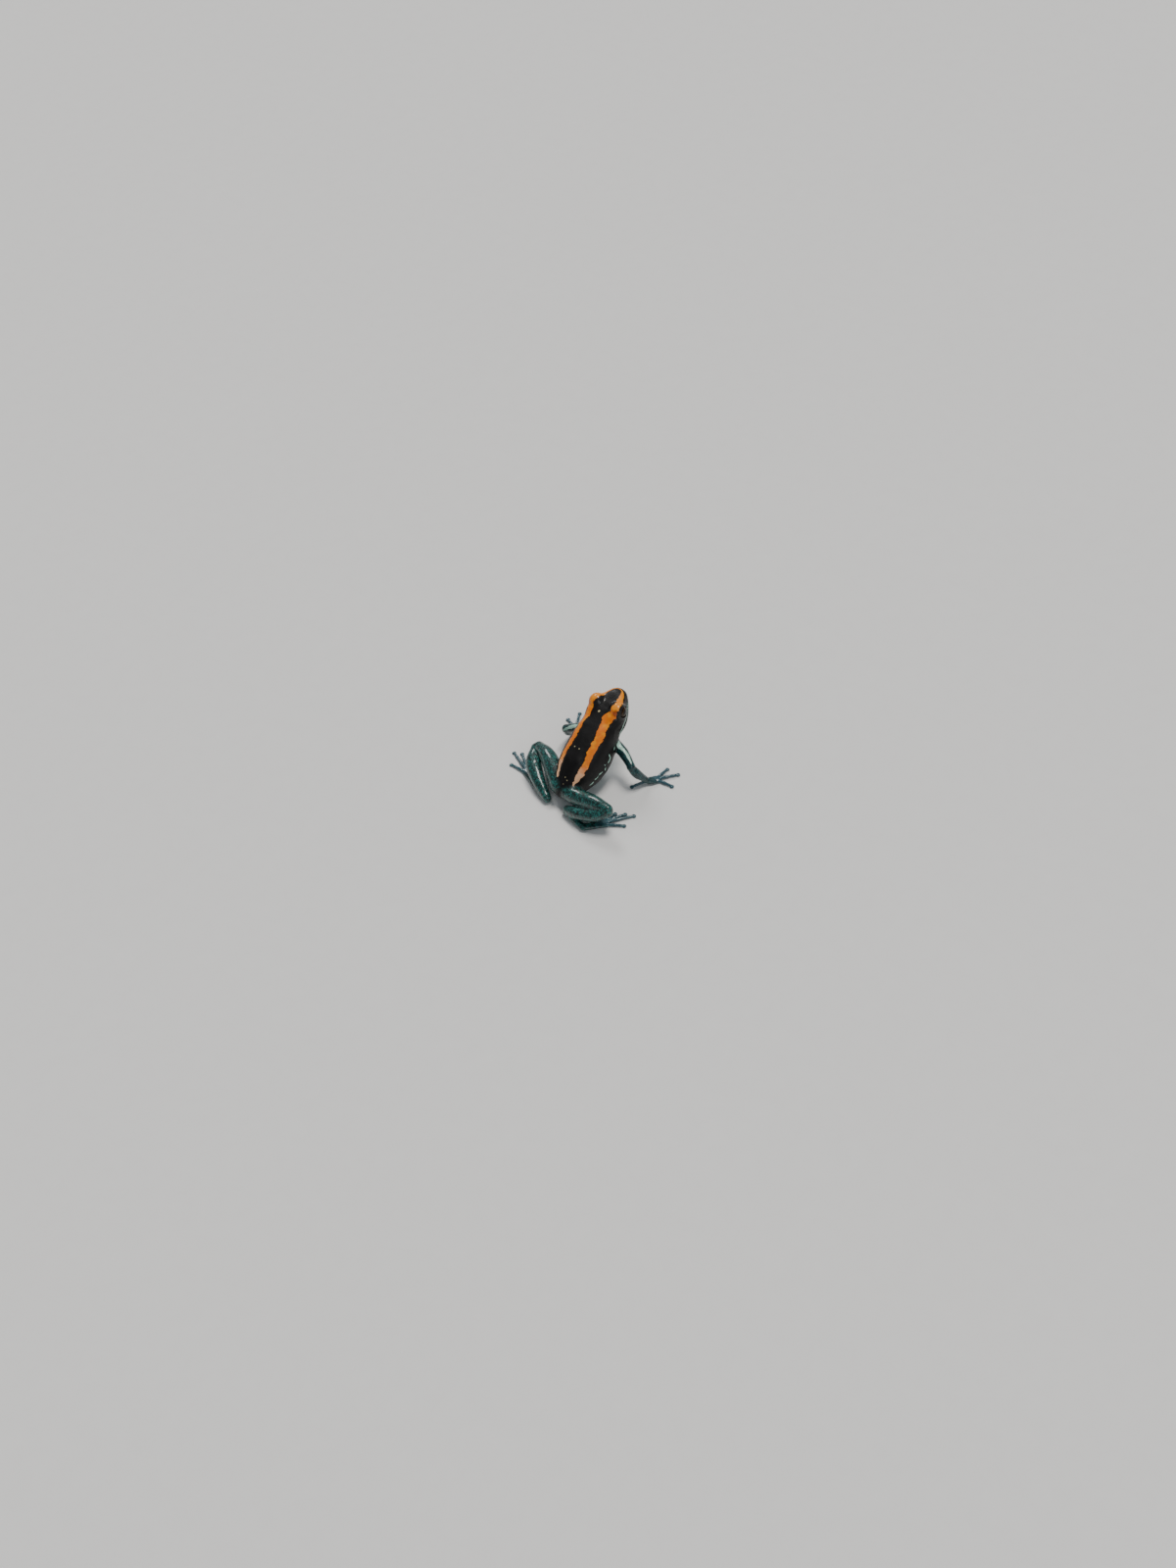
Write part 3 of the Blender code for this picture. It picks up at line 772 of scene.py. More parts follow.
@dataclass
class Unevenness:
    """Low soft lumps all over the skin, from random heights on a lattice blended between its corners."""

    lump: float = 0.95
    height: float = 0.030
    cells: int = 40
    seed: int = 11

    def __post_init__(self) -> None:
        """Draws the lattice's heights, from -1 to 1."""
        self.lattice = np.random.default_rng(self.seed).uniform(-1.0, 1.0, (self.cells,) * 3)

    def at(self, points: Points) -> Values:
        """Reads the height of the lumps.

        Args:
            points: (n, 3) body points.

        Returns:
            (n,) heights in millimetres: the eight corners' values, weighted by 3t^2 - 2t^3 each way.
        """
        place = points / self.lump
        cell = np.floor(place).astype(int)
        t = place - cell
        weight = t * t * (3.0 - 2.0 * t)
        total = np.zeros(len(points))
        for i in range(8):
            step = np.array([i & 1, i >> 1 & 1, i >> 2])
            corner = self.lattice[tuple(((cell + step) % self.cells).T)]
            total += corner * np.where(step, weight, 1.0 - weight).prod(1)
        return self.height * total


@dataclass
class FrogShape:
    """The whole skin as one distance field: trunk, head and back forms, arms and legs."""

    trunk: Trunk = field(default_factory=Trunk)
    head: Head = field(default_factory=Head)
    back: Back = field(default_factory=Back)
    lumps: Unevenness = field(default_factory=Unevenness)
    members: tuple[Member, ...] = (*LEGS, *ARMS)
    stride: float = 0.12
    flattest: float = 0.05

    def torso(self, points: Points) -> Values:
        """Gives the distance to head and trunk with their own forms."""
        local = BODY.to_trunk(points)
        return self.head.shape(self.back.shape(self.trunk.distance(local), local), local)

    def distance(self, points: Points) -> Values:
        """Gives the distance to the skin.

        Args:
            points: (n, 3) body points.

        Returns:
            (n,) distances: limbs joined to the torso by their root fillets, all cut level at z = 0.
        """
        d = self.torso(points)
        for member in self.members:
            d = smooth_min(d, member.distance(points), member.root.width(points))
        return np.maximum(d - self.lumps.at(points), -points[:, 2])

    def slope(self, points: Points, at: Values, reach: float = 0.02) -> Points:
        """Gives the field's slope by forward steps of the reach along f, r and z."""
        steps = [self.distance(points + reach * np.eye(3)[k]) - at for k in range(3)]
        return np.stack(steps, 1) / reach

    def settle(self, points: Points, rounds: int = 3) -> Points:
        """Moves points onto the skin by Newton's rule: back down the slope by distance over slope.

        Args:
            points: (n, 3) body points near the skin.
            rounds: the number of moves, none of them longer than the stride.

        Returns:
            (n, 3) body points on the skin.
        """
        for _ in range(rounds):
            d = self.distance(points)
            slope = self.slope(points, d)
            move = (d / np.maximum((slope**2).sum(1), self.flattest))[:, None] * slope
            length = np.linalg.norm(move, axis=1, keepdims=True)
            points = points - move * np.minimum(1.0, self.stride / np.maximum(length, 1e-9))
        return points


def net(values: Values, axes: list[Values]) -> tuple[Points, np.ndarray]:
    """Draws the surface where a sampled field is 0, as a net with one corner in each crossed cell.

    Args:
        values: (a, b, c) samples on a grid.
        axes: the grid's three rising coordinate lists.

    Returns:
        Corners, each the mean of the crossings of its cell's twelve edges, and triangles, two for
        each grid edge that the surface crosses, over the four cells round it.
    """
    inside = values < 0.0
    size = np.array(values.shape) - 1
    count = np.zeros(size, int)
    for i in range(8):
        a, b, c = i & 1, i >> 1 & 1, i >> 2
        count += inside[a : a + size[0], b : b + size[1], c : c + size[2]]
    cell = np.stack(np.nonzero((count > 0) & (count < 8)), 1)
    number = np.full(size, -1)
    number[tuple(cell.T)] = np.arange(len(cell))
    total, crossings = np.zeros((len(cell), 3)), np.zeros(len(cell))
    for axis in range(3):
        for corner in range(4):
            offset = np.zeros(3, int)
            offset[(axis + 1) % 3], offset[(axis + 2) % 3] = corner & 1, corner >> 1
            low = cell + offset
            high = low + np.eye(3, dtype=int)[axis]
            v0, v1 = values[tuple(low.T)], values[tuple(high.T)]
            crossed = (v0 < 0) != (v1 < 0)
            share = np.where(crossed, v0 / np.where(crossed, v0 - v1, 1.0), 0.0)
            place = np.stack([axes[k][low[:, k]] for k in range(3)], 1)
            place[:, axis] += share * (axes[axis][high[:, axis]] - axes[axis][low[:, axis]])
            total += place * crossed[:, None]
            crossings += crossed
    quads = []
    for axis in range(3):
        turned = -np.diff(inside.astype(int), axis=axis)
        at = np.stack(np.nonzero(turned), 1)
        sign = turned[tuple(at.T)]
        e1, e2 = np.eye(3, dtype=int)[[(axis + 1) % 3, (axis + 2) % 3]]
        quad = np.stack([number[tuple((at + o).T)] for o in (-e1 - e2, -e2, 0 * e1, -e1)], 1)
        quads.append(np.where(sign[:, None] > 0, quad, quad[:, ::-1]))
    quad = np.concatenate(quads)
    return total / crossings[:, None], np.concatenate([quad[:, [0, 1, 2]], quad[:, [0, 2, 3]]])


def edges_of(faces: np.ndarray) -> np.ndarray:
    """Lists the edges of triangles: every first one, then every second and every third."""
    return np.concatenate([faces[:, [0, 1]], faces[:, [1, 2]], faces[:, [2, 0]]])


def split(points: Points, faces: np.ndarray, marked: Values) -> tuple[Points, np.ndarray]:
    """Splits the marked edges of a triangle mesh in half, and the triangles to match.

    Args:
        points: (n, 3) corners.
        faces: (m, 3) triangles.
        marked: (n,) corners to be finer; an edge between two of them is split.

    Returns:
        The new corners and triangles: one, two or three split edges make two, three or four.
    """
    edges = np.sort(edges_of(faces), 1)
    edges, back = np.unique(edges, axis=0, return_inverse=True)
    cut = marked[edges].all(1)
    middle = np.full(len(edges), -1)
    middle[cut] = len(points) + np.arange(cut.sum())
    mid = middle[back.reshape(3, -1).T]
    has = mid >= 0
    total = has.sum(1)
    turn = np.where(total == 1, has.argmax(1), np.where(total == 2, ((~has).argmax(1) + 1) % 3, 0))
    order = (turn[:, None] + np.arange(3)) % 3
    (a, b, c), (ab, bc, ca) = np.take_along_axis(faces, order, 1).T, np.take_along_axis(mid, order, 1).T
    made = [faces[total == 0]]
    rules = {
        1: ((a, ab, c), (ab, b, c)),
        2: ((ab, b, bc), (a, ab, bc), (a, bc, c)),
        3: ((a, ab, ca), (ab, b, bc), (ca, bc, c), (ab, bc, ca)),
    }
    for n, parts in rules.items():
        made += [np.stack(part, 1)[total == n] for part in parts]
    return np.concatenate([points, points[edges[cut]].mean(1)]), np.concatenate(made)


@dataclass
class SkinMesh:
    """The skin's mesh: a net over a grid, made finer where the forms are small, and laid on the field.

    The grid goes from low to high in body millimetres. The head is what lies in front of head_from,
    above head_low and within head_side of the middle. Each reach is how far round its form the mesh
    is finer. The half diagonal is a block's, in steps of its side.
    """

    shape: FrogShape
    step: float = 0.235
    block: int = 6
    half_diagonal: float = 0.87
    margin: float = 1.5
    low: Triple = (-3.2, -19.8, -0.34)
    high: Triple = (25.8, 18.0, 17.0)
    head_from: float = 17.6
    head_low: float = -3.2
    head_side: float = 5.4
    digit_reach: float = 0.12
    lid_reach: float = 2.25
    lip_reach: float = 0.34
    ear_reach: float = 1.0
    nose_from: float = 25.2
    face_from: float = 17.0
    corner_reach: float = 0.3
    ear_side: float = 2.5
    eye_front: float = 0.2

    def sample(self) -> tuple[Values, list[Values]]:
        """Samples the field near the skin, and marks the rest as plainly inside or outside.

        Returns:
            The samples and the grid's three coordinate lists. Blocks whose middle is further from
            the skin than half their diagonal and the margin take the middle's value.
        """
        spans = [high - low for low, high in zip(self.low, self.high)]
        counts = [int(math.ceil(span / self.step / self.block)) for span in spans]
        axes = [low + self.step * np.arange(n * self.block) for low, n in zip(self.low, counts)]
        centres = [a.reshape(n, self.block).mean(1) for a, n in zip(axes, counts)]
        middle = np.stack(np.meshgrid(*centres, indexing="ij"), -1).reshape(-1, 3)
        rough = self.shape.distance(middle).reshape(counts)
        values = rough
        for axis in range(3):
            values = np.repeat(values, self.block, axis)
        near = np.abs(values) < self.step * self.block * self.half_diagonal + self.margin
        at = np.stack(np.nonzero(near), 1)
        places = np.stack([axes[k][at[:, k]] for k in range(3)], 1)
        values[near] = self.shape.distance(places)
        return values, axes

    def relax(self, points: Points, faces: np.ndarray, rounds: int = 2) -> Points:
        """Evens the mesh: each point goes halfway to the mean of its neighbours, then back on the skin.

        Args:
            points: (n, 3) body points.
            faces: (m, 3) triangles.
            rounds: how often this is done.

        Returns:
            (n, 3) body points.
        """
        edge = edges_of(faces)
        edge = np.concatenate([edge, edge[:, ::-1]])
        share = np.bincount(edge[:, 0], minlength=len(points))[:, None]
        for _ in range(rounds):
            sums = [np.bincount(edge[:, 0], points[edge[:, 1], k], len(points)) for k in range(3)]
            mean = np.stack(sums, 1) / share
            points = self.shape.settle(points + 0.5 * (mean - points), 1)
        return points

    def finer(self, points: Points, level: int) -> Values:
        """Picks the places that need smaller triangles.

        Args:
            points: (n, 3) body points.
            level: 1 for the head and the digits, 2 for lids, lips, ears and nostrils.

        Returns:
            (n,) true where the mesh is to be split.
        """
        local = BODY.to_trunk(points)
        s, r, h = local.T
        if level == 1:
            digits = np.min([m.hand(points) for m in self.shape.members], axis=0)
            head = (s > self.head_from) & (h > self.head_low) & (np.abs(r) < self.head_side)
            return head | (digits < self.digit_reach)
        head = self.shape.head
        away = head.from_eye(outwards(local))
        lids = (np.linalg.norm(away, axis=1) < self.lid_reach) & (away[:, 2] > self.eye_front)
        lips = np.abs(h - head.mouth_height(s)) < self.lip_reach
        lips &= s > head.mouth_corner - self.corner_reach
        ears = np.hypot(s - head.tympanum[0], h - head.tympanum[1]) < self.ear_reach
        fine = lips | (ears & (np.abs(r) > self.ear_side)) | ((s > self.nose_from) & (h > 0.0))
        return lids | (fine & (s > self.face_from) & (np.abs(r) < self.head_side))

    def build(self) -> tuple[Points, np.ndarray]:
        """Makes the mesh: the net, two rounds of splitting, each evened out and laid on the skin.

        Returns:
            (n, 3) body points on the skin and (m, 3) triangles.
        """
        points, faces = net(*self.sample())
        points = self.relax(self.shape.settle(points, 2), faces, 3)
        for level in (1, 2):
            points, faces = split(points, faces, self.finer(points, level))
            points = self.relax(points, faces, 2)
        points = self.shape.settle(points, 2)
        points[:, 2] = np.maximum(points[:, 2], 0.0)
        return points, faces


def placed(name: str, data: bpy.types.ID) -> bpy.types.Object:
    """Makes an object and links it to the scene.

    Args:
        name: the object's name.
        data: its mesh, lamp or camera.

    Returns:
        The object, at the origin.
    """
    obj = bpy.data.objects.new(name, data)
    bpy.context.scene.collection.objects.link(obj)
    return obj


def mesh_object(name: str, points: Points, faces: np.ndarray) -> bpy.types.Object:
    """Puts triangles or four-sided faces into a new smooth-shaded object, facing outwards.

    Args:
        name: the object's name.
        points: (n, 3) row-frame metres.
        faces: (m, 3) or (m, 4) corner numbers.

    Returns:
        The object, linked to the scene at the origin.
    """
    a, b, c = (points[faces[:, k]] for k in range(3))
    if np.einsum("ij,ij->", a, np.cross(b, c)) < 0.0:
        faces = faces[:, ::-1]
    mesh = bpy.data.meshes.new(name)
    mesh.vertices.add(len(points))
    mesh.vertices.foreach_set("co", points.astype(np.float32).ravel())
    corners = faces.shape[1]
    mesh.loops.add(faces.size)
    mesh.loops.foreach_set("vertex_index", faces.astype(np.int32).ravel())
    mesh.polygons.add(len(faces))
    mesh.polygons.foreach_set("loop_start", np.arange(0, faces.size, corners, dtype=np.int32))
    mesh.polygons.foreach_set("use_smooth", np.ones(len(faces), bool))
    mesh.update(calc_edges=True)
    mesh.validate()
    return placed(name, mesh)


@dataclass
class Stripe:
    """A stripe or streak of the markings: a line laid on the skin, with its own half width along it.

    Each row is s, r, h and half width in the trunk frame, or f, r, z and half width on a limb.
    """

    rows: Rows
    on_trunk: bool = True

    def distance(self, points: Points, shape: FrogShape) -> Values:
        """Measures the way over the skin to the stripe.

        Args:
            points: (n, 3) body points on the skin.
            shape: the skin that the line is laid on.

        Returns:
            (n,) distances from the stripe's edge, less than 0 inside it.
        """
        rows = through(np.array(self.rows, float), 8)
        places = BODY.from_trunk(rows[:, :3]) if self.on_trunk else rows[:, :3]
        step, share, miss = Line(shape.settle(places, 8)).nearest(points)
        half = rows[step, 3] * (1 - share) + rows[step + 1, 3] * share
        return np.linalg.norm(miss, axis=1) - half


@dataclass
class Markings:
    """The frog's pattern as smooth distances in millimetres over the skin, from named lines.

    Specks, and the patches of painted shade round the lids, are s, r, h and radius. Each fade is
    where a weight starts and ends. The crease weight is painted shade: the mouth's line is dark where
    the skin is bare, with no limb on it, and so are the nostrils and the inner walls of the eye sockets.
    """

    right: Rows = (
        (26.62, 0.00, 1.00, 0.13), (26.40, 0.80, 1.05, 0.15), (25.70, 1.50, 1.35, 0.40),
        (24.7, 1.98, 1.85, 0.62), (23.8, 2.38, 2.35, 0.70), (23.0, 2.92, 3.30, 0.74),
        (22.1, 2.90, 3.75, 0.90), (21.2, 3.00, 3.50, 0.84), (20.7, 2.95, 3.10, 0.80),
        (19.8, 2.36, 2.90, 1.14), (18.9, 2.22, 2.90, 1.16), (17.9, 2.38, 2.85, 0.94),
        (16.6, 2.48, 2.90, 0.92), (15.0, 2.70, 2.90, 0.92), (12.9, 2.90, 3.00, 0.80),
        (11.2, 3.00, 3.00, 0.78), (9.4, 3.18, 2.75, 0.76), (7.8, 3.08, 2.50, 0.74),
        (5.8, 2.85, 2.05, 0.62), (4.3, 2.45, 1.70, 0.42), (3.3, 2.15, 1.35, 0.18),
    )
    left: Rows = (
        (26.62, 0.00, 1.00, 0.13), (26.40, -0.80, 1.05, 0.15), (25.70, -1.60, 1.35, 0.40),
        (24.7, -2.40, 1.85, 0.58), (23.9, -2.65, 2.40, 0.72), (23.1, -2.95, 3.20, 0.90),
        (22.2, -3.20, 3.75, 0.92), (21.2, -3.42, 3.40, 0.84), (20.7, -3.32, 3.00, 0.84),
        (19.8, -2.95, 2.75, 0.80), (18.6, -2.92, 2.55, 0.88), (17.0, -3.02, 2.60, 0.76),
        (15.0, -2.95, 2.80, 0.76), (12.9, -2.75, 3.05, 0.76), (11.2, -2.80, 3.05, 0.74),
        (9.4, -2.85, 2.90, 0.84), (7.8, -2.65, 2.70, 0.80), (5.8, -2.30, 2.35, 0.58),
        (4.6, -1.85, 2.20, 0.40), (3.8, -1.55, 1.95, 0.20),
    )
    lip: Rows = (
        (25.2, 2.45, -0.14, 0.02), (23.8, 3.35, -0.22, 0.12), (22.3, 4.15, -0.14, 0.15),
        (20.6, 4.50, -0.24, 0.16), (19.4, 4.55, -0.58, 0.16), (18.4, 4.45, -0.98, 0.16),
        (17.4, 4.40, -1.35, 0.05),
    )
    flanks_right: tuple[Rows, ...] = (
        ((15.3, 4.9, -1.15, 0.05), (14.7, 5.0, -1.30, 0.15), (14.2, 5.1, -1.25, 0.04)),
        ((13.2, 5.1, -0.25, 0.07), (12.85, 5.2, -0.85, 0.17), (12.7, 5.2, -1.35, 0.10)),
        ((12.45, 5.2, -1.45, 0.13), (12.0, 5.2, -1.65, 0.20), (11.5, 5.2, -1.60, 0.07)),
        ((11.05, 5.2, -1.25, 0.06), (10.75, 5.2, -0.90, 0.15), (10.55, 5.2, -0.55, 0.06)),
        ((10.4, 5.1, -1.60, 0.07), (10.1, 5.0, -1.95, 0.18), (9.8, 4.9, -2.30, 0.06)),
        ((9.3, 5.1, -1.60, 0.06), (8.6, 5.0, -1.35, 0.20), (8.0, 4.9, -1.25, 0.07)),
        ((7.7, 4.8, -1.35, 0.10), (7.1, 4.7, -1.25, 0.15), (6.8, 4.7, -1.15, 0.04)),
        ((6.4, 4.6, -1.45, 0.05), (5.9, 4.4, -1.55, 0.15), (5.3, 4.1, -1.50, 0.05)),
    )
    flanks_left: tuple[Rows, ...] = (
        ((15.4, -4.9, -1.30, 0.05), (14.5, -5.0, -1.20, 0.17), (13.9, -5.1, -1.25, 0.04)),
        ((13.3, -5.1, -1.10, 0.06), (12.7, -5.2, -1.25, 0.20), (12.0, -5.2, -1.60, 0.08)),
        (
            (11.6, -5.2, -1.45, 0.10), (11.1, -5.2, -1.70, 0.22),
            (10.4, -5.2, -1.85, 0.14), (9.9, -5.2, -2.10, 0.04),
        ),
        ((10.6, -5.1, -2.60, 0.05), (10.1, -5.0, -2.80, 0.15), (9.7, -4.9, -3.05, 0.05)),
        ((9.3, -5.1, -2.05, 0.07), (8.6, -5.0, -2.25, 0.17), (7.9, -4.9, -2.20, 0.06)),
        ((7.4, -4.8, -2.45, 0.06), (6.7, -4.7, -2.55, 0.16), (6.0, -4.5, -2.45, 0.05)),
    )
    arm_right: Rows = (
        (17.25, 4.35, 8.40, 0.10), (16.60, 4.85, 8.30, 0.40), (16.15, 5.25, 8.10, 0.52),
        (16.1, 6.1, 7.95, 0.38), (15.85, 7.16, 7.60, 0.33), (15.37, 8.18, 7.14, 0.31),
        (14.8, 9.3, 6.60, 0.15),
    )
    arm_left: Rows = (
        (16.6, -5.2, 8.05, 0.16), (16.2, -6.6, 7.75, 0.42), (15.8, -7.9, 7.2, 0.40),
        (15.2, -9.1, 6.3, 0.30), (15.0, -9.8, 5.7, 0.12),
    )
    specks: Rows = (
        (20.10, -0.55, 2.95, 0.23), (10.87, -0.94, 3.62, 0.14), (10.82, 0.33, 3.67, 0.13),
        (4.13, 0.35, 2.69, 0.13), (3.75, 0.98, 2.45, 0.15), (2.73, 0.45, 2.10, 0.14),
    )
    # Painted shade: dark red patches on the shaded sides of the lids, at their rear and front corners.
    lid_shade_patches: Rows = ((21.15, 3.45, 3.35, 0.62), (24.1, 3.0, 1.6, 0.30), (21.0, -3.7, 3.0, 0.5))
    limb_fade: Pair = (-0.5, 0.9)
    arm_fade: Pair = (-0.3, 0.7)
    digit_fade: Pair = (0.03, 0.5)
    belly_fade: Pair = (0.30, 0.80)
    mouth_fade: Pair = (-0.40, -0.10)
    jaw_fade: Pair = (17.5, 18.7)
    socket_fade: Pair = (1.68, 1.80)
    lid_fade: Pair = (1.9, 2.7)
    corner_fade: Pair = (18.7, 19.6)
    socket_front: float = 0.3
    bare_skin: float = 0.1
    mouth_shade: float = 0.07
    nostril_shade: float = 0.16

    def measure(self, points: Points, shape: FrogShape) -> dict[str, Values]:
        """Works out every marking over the skin.

        Args:
            points: (n, 3) body points on the skin.
            shape: the skin's field, for the weight of trunk and limbs.

        Returns:
            Named values, one for each point: distances in millimetres and weights from 0 to 1.
        """
        local = BODY.to_trunk(points)
        s, _, h = local.T
        head, outer = shape.head, outwards(local)
        left_lip = tuple((row[0], -row[1], *row[2:]) for row in self.lip)

        def lines(*tables: Rows, on_trunk: bool = True) -> Values:
            """Gives the distance to the nearest of some lines."""
            return np.min([Stripe(rows, on_trunk).distance(points, shape) for rows in tables], axis=0)

        def dots(rows: Rows) -> Values:
            """Gives the distance to the nearest of some round dots."""
            ways = [np.linalg.norm(local - dot[:3], axis=1) - dot[3] for dot in np.array(rows)]
            return np.min(ways, axis=0)

        torso = shape.torso(points)
        limbs = np.min([member.distance(points) for member in shape.members], axis=0)
        arm = np.min([member.distance(points) for member in ARMS], axis=0)
        digits = np.min([member.hand(points) for member in shape.members], axis=0)
        _, _, bottom, widest, _ = shape.trunk.section(s)
        under = (widest - h) / np.maximum(widest - bottom, 0.1)
        line = h - head.mouth_height(s)
        below_mouth = 1.0 - ramp(*self.mouth_fade, line) * ramp(*self.jaw_fade, s)
        away = head.from_eye(outer)
        ball = np.linalg.norm(away, axis=1)
        # Painted shade: the crease weight darkens the eye sockets' inner walls, the mouth's line and the
        # nostrils.
        socket = (1.0 - ramp(*self.socket_fade, ball)) * (away[:, 2] > self.socket_front)
        mouth = bell(line, self.mouth_shade) * ramp(*self.corner_fade, s) * (torso < self.bare_skin)
        hole = bell(np.linalg.norm(outer - np.array(head.nostril), axis=1), self.nostril_shade)
        return {
            "stripe_mm": lines(self.right, self.left),
            "along_mm": s,
            "lip_mm": lines(self.lip, left_lip),
            "flank_mm": lines(*self.flanks_right, *self.flanks_left),
            "arm_mm": lines(self.arm_right, self.arm_left, on_trunk=False),
            "speck_mm": dots(self.specks),
            "limb": ramp(*self.limb_fade, torso - limbs),
            "arm": (arm < limbs + 0.01) * ramp(*self.arm_fade, torso - limbs),
            "digit": 1.0 - ramp(*self.digit_fade, digits),
            "belly": ramp(*self.belly_fade, under) * below_mouth,
            "crease": np.maximum(np.maximum(mouth, hole), socket),
            "lid": 1.0 - ramp(*self.lid_fade, ball),
            "lid_shade_mm": dots(self.lid_shade_patches),
        }


class Wire:
    """A value or colour between shader nodes. Sums with it lay out Math nodes in its tree."""

    def __init__(self, nodes: "Nodes", socket: bpy.types.NodeSocket) -> None:
        """Keeps the socket that gives the value, and the helper of its tree."""
        self.nodes, self.socket = nodes, socket

    def __add__(self, other: "Wire | float") -> "Wire":
        """Adds the other to this."""
        return self.nodes.math("ADD", self, other)

    def __sub__(self, other: "Wire | float") -> "Wire":
        """Takes the other from this."""
        return self.nodes.math("SUBTRACT", self, other)

    def __rsub__(self, other: float) -> "Wire":
        """Takes this from a number."""
        return self.nodes.math("SUBTRACT", other, self)

    def __mul__(self, other: "Wire | float") -> "Wire":
        """Multiplies this by the other."""
        return self.nodes.math("MULTIPLY", self, other)

    def __truediv__(self, other: float) -> "Wire":
        """Divides this by a number."""
        return self.nodes.math("DIVIDE", self, other)

    def __rtruediv__(self, other: float) -> "Wire":
        """Divides a number by this."""
        return self.nodes.math("DIVIDE", other, self)


Number = Wire | float
Tint = Wire | Colour


class Nodes:
    """A small helper that lays out shader nodes in an empty tree and joins them."""

    def __init__(self, tree: bpy.types.NodeTree) -> None:
        """Keeps the tree, cleared of the nodes that Blender puts there."""
        self.tree = tree
        tree.nodes.clear()

    def add(self, kind: str, inputs: dict | tuple = (), **settings: object) -> bpy.types.Node:
        """Adds a node.

        Args:
            kind: the node's type without ShaderNode in front, such as Math.
            inputs: values or wires for its inputs, in order, or by name or number.
            settings: properties that are set first, such as an operation.

        Returns:
            The node.
        """
        node = self.tree.nodes.new("ShaderNode" + kind)
        for key, value in settings.items():
            setattr(node, key, value)
        for key, value in inputs.items() if isinstance(inputs, dict) else enumerate(inputs):
            if isinstance(value, Wire):
                self.tree.links.new(value.socket, node.inputs[key])
            else:
                node.inputs[key].default_value = value
        return node

    def wire(self, kind: str, inputs: dict | tuple = (), output: int | str = 0, **settings: object) -> Wire:
        """Adds a node and gives one of its outputs."""
        return Wire(self, self.add(kind, inputs, **settings).outputs[output])

    def math(self, operation: str, a: Number, b: Number = 0.0) -> Wire:
        """Adds a Math node and gives its result."""
        return self.wire("Math", (a, b), operation=operation)

    def mix(self, share: Number, a: Tint, b: Tint) -> Wire:
        """Mixes two colours by a share. Inputs 6 and 7 and output 2 are the Mix node's colours."""
        return self.wire("Mix", {0: share, 6: a, 7: b}, 2, data_type="RGBA")

    def step(self, value: Wire, low: Number, high: Number) -> Wire:
        """Rises smoothly from 0 at low to 1 at high."""
        return self.wire("MapRange", (value, low, high), interpolation_type="SMOOTHSTEP")

    def attribute(self, name: str) -> Wire:
        """Reads one of the mesh's own named values."""
        return self.wire("Attribute", output="Fac", attribute_name=name)

    def noise(self, place: Wire, scale: Number, detail: float = 2.0, distortion: float = 0.0) -> Wire:
        """Adds noise. With places in metres, 1000 over a size in millimetres is the scale."""
        inputs = {"Vector": place, "Scale": scale, "Detail": detail, "Distortion": distortion}
        return self.wire("TexNoise", inputs)

    def place(self) -> Wire:
        """Gives the object's own coordinates."""
        return self.wire("TexCoord", output="Object")

    def finish(self, **sockets: Number | Tint) -> None:
        """Ends a material with its shader, the sockets named with _ for a space."""
        named = {key.replace("_", " "): value for key, value in sockets.items()}
        self.add("OutputMaterial", {"Surface": self.wire("BsdfPrincipled", named)})

    def give(self, **outputs: Wire) -> bpy.types.NodeTree:
        """Ends a node group with its named outputs, all plain values.

        Args:
            outputs: the wires that give them.

        Returns:
            The group's tree.
        """
        for label in outputs:
            self.tree.interface.new_socket(label, in_out="OUTPUT", socket_type="NodeSocketFloat")
        end = self.tree.nodes.new("NodeGroupOutput")
        for label, value in outputs.items():
            self.tree.links.new(value.socket, end.inputs[label])
        return self.tree


def new_material(name: str) -> tuple[bpy.types.Material, Nodes]:
    """Makes an empty material.

    Args:
        name: the material's name.

    Returns:
        The material and the helper for its nodes.
    """
    material = bpy.data.materials.new(name)
    material.use_nodes = True
    return material, Nodes(material.node_tree)


def new_group(name: str, **numbers: float) -> tuple[Nodes, list[Wire]]:
    """Starts a shader node group that reads a place and some numbers.

    Args:
        name: the group's name.
        numbers: its number inputs by name, with their usual values.

    Returns:
        The helper for its tree, and the place and the numbers as wires.
    """
    tree = bpy.data.node_groups.new(name, "ShaderNodeTree")
    n = Nodes(tree)
    tree.interface.new_socket("Place", in_out="INPUT", socket_type="NodeSocketVector")
    for label, usual in numbers.items():
        socket = tree.interface.new_socket(label, in_out="INPUT", socket_type="NodeSocketFloat")
        socket.default_value = usual
    start = tree.nodes.new("NodeGroupInput")
    return n, [Wire(n, start.outputs[label]) for label in ("Place", *numbers)]


def more(share: Wire, base: float, extra: float) -> Wire:
    """Gives the base, and the extra on top of it by the share."""
    return share * extra + base


def ragged_edge_group() -> bpy.types.NodeTree:
    """Makes the group that turns a distance in millimetres into a mark with an uneven edge.

    Returns:
        The group. The distance is shifted by noise of the given size and swing, then read as 1 inside
        and 0 outside over the given softness.
    """
    numbers = {"Distance": 1.0, "Lump": 1.0, "Swing": 0.1, "Soft": 0.04}
    n, (place, distance, lump, swing, soft) = new_group("Ragged edge", **numbers)
    edge = distance + (n.noise(place, PER_METRE / lump, detail=3.0) - 0.5) * (swing * 2.0)
    return n.give(Mark=1.0 - n.step(edge, soft * -1.0, soft))


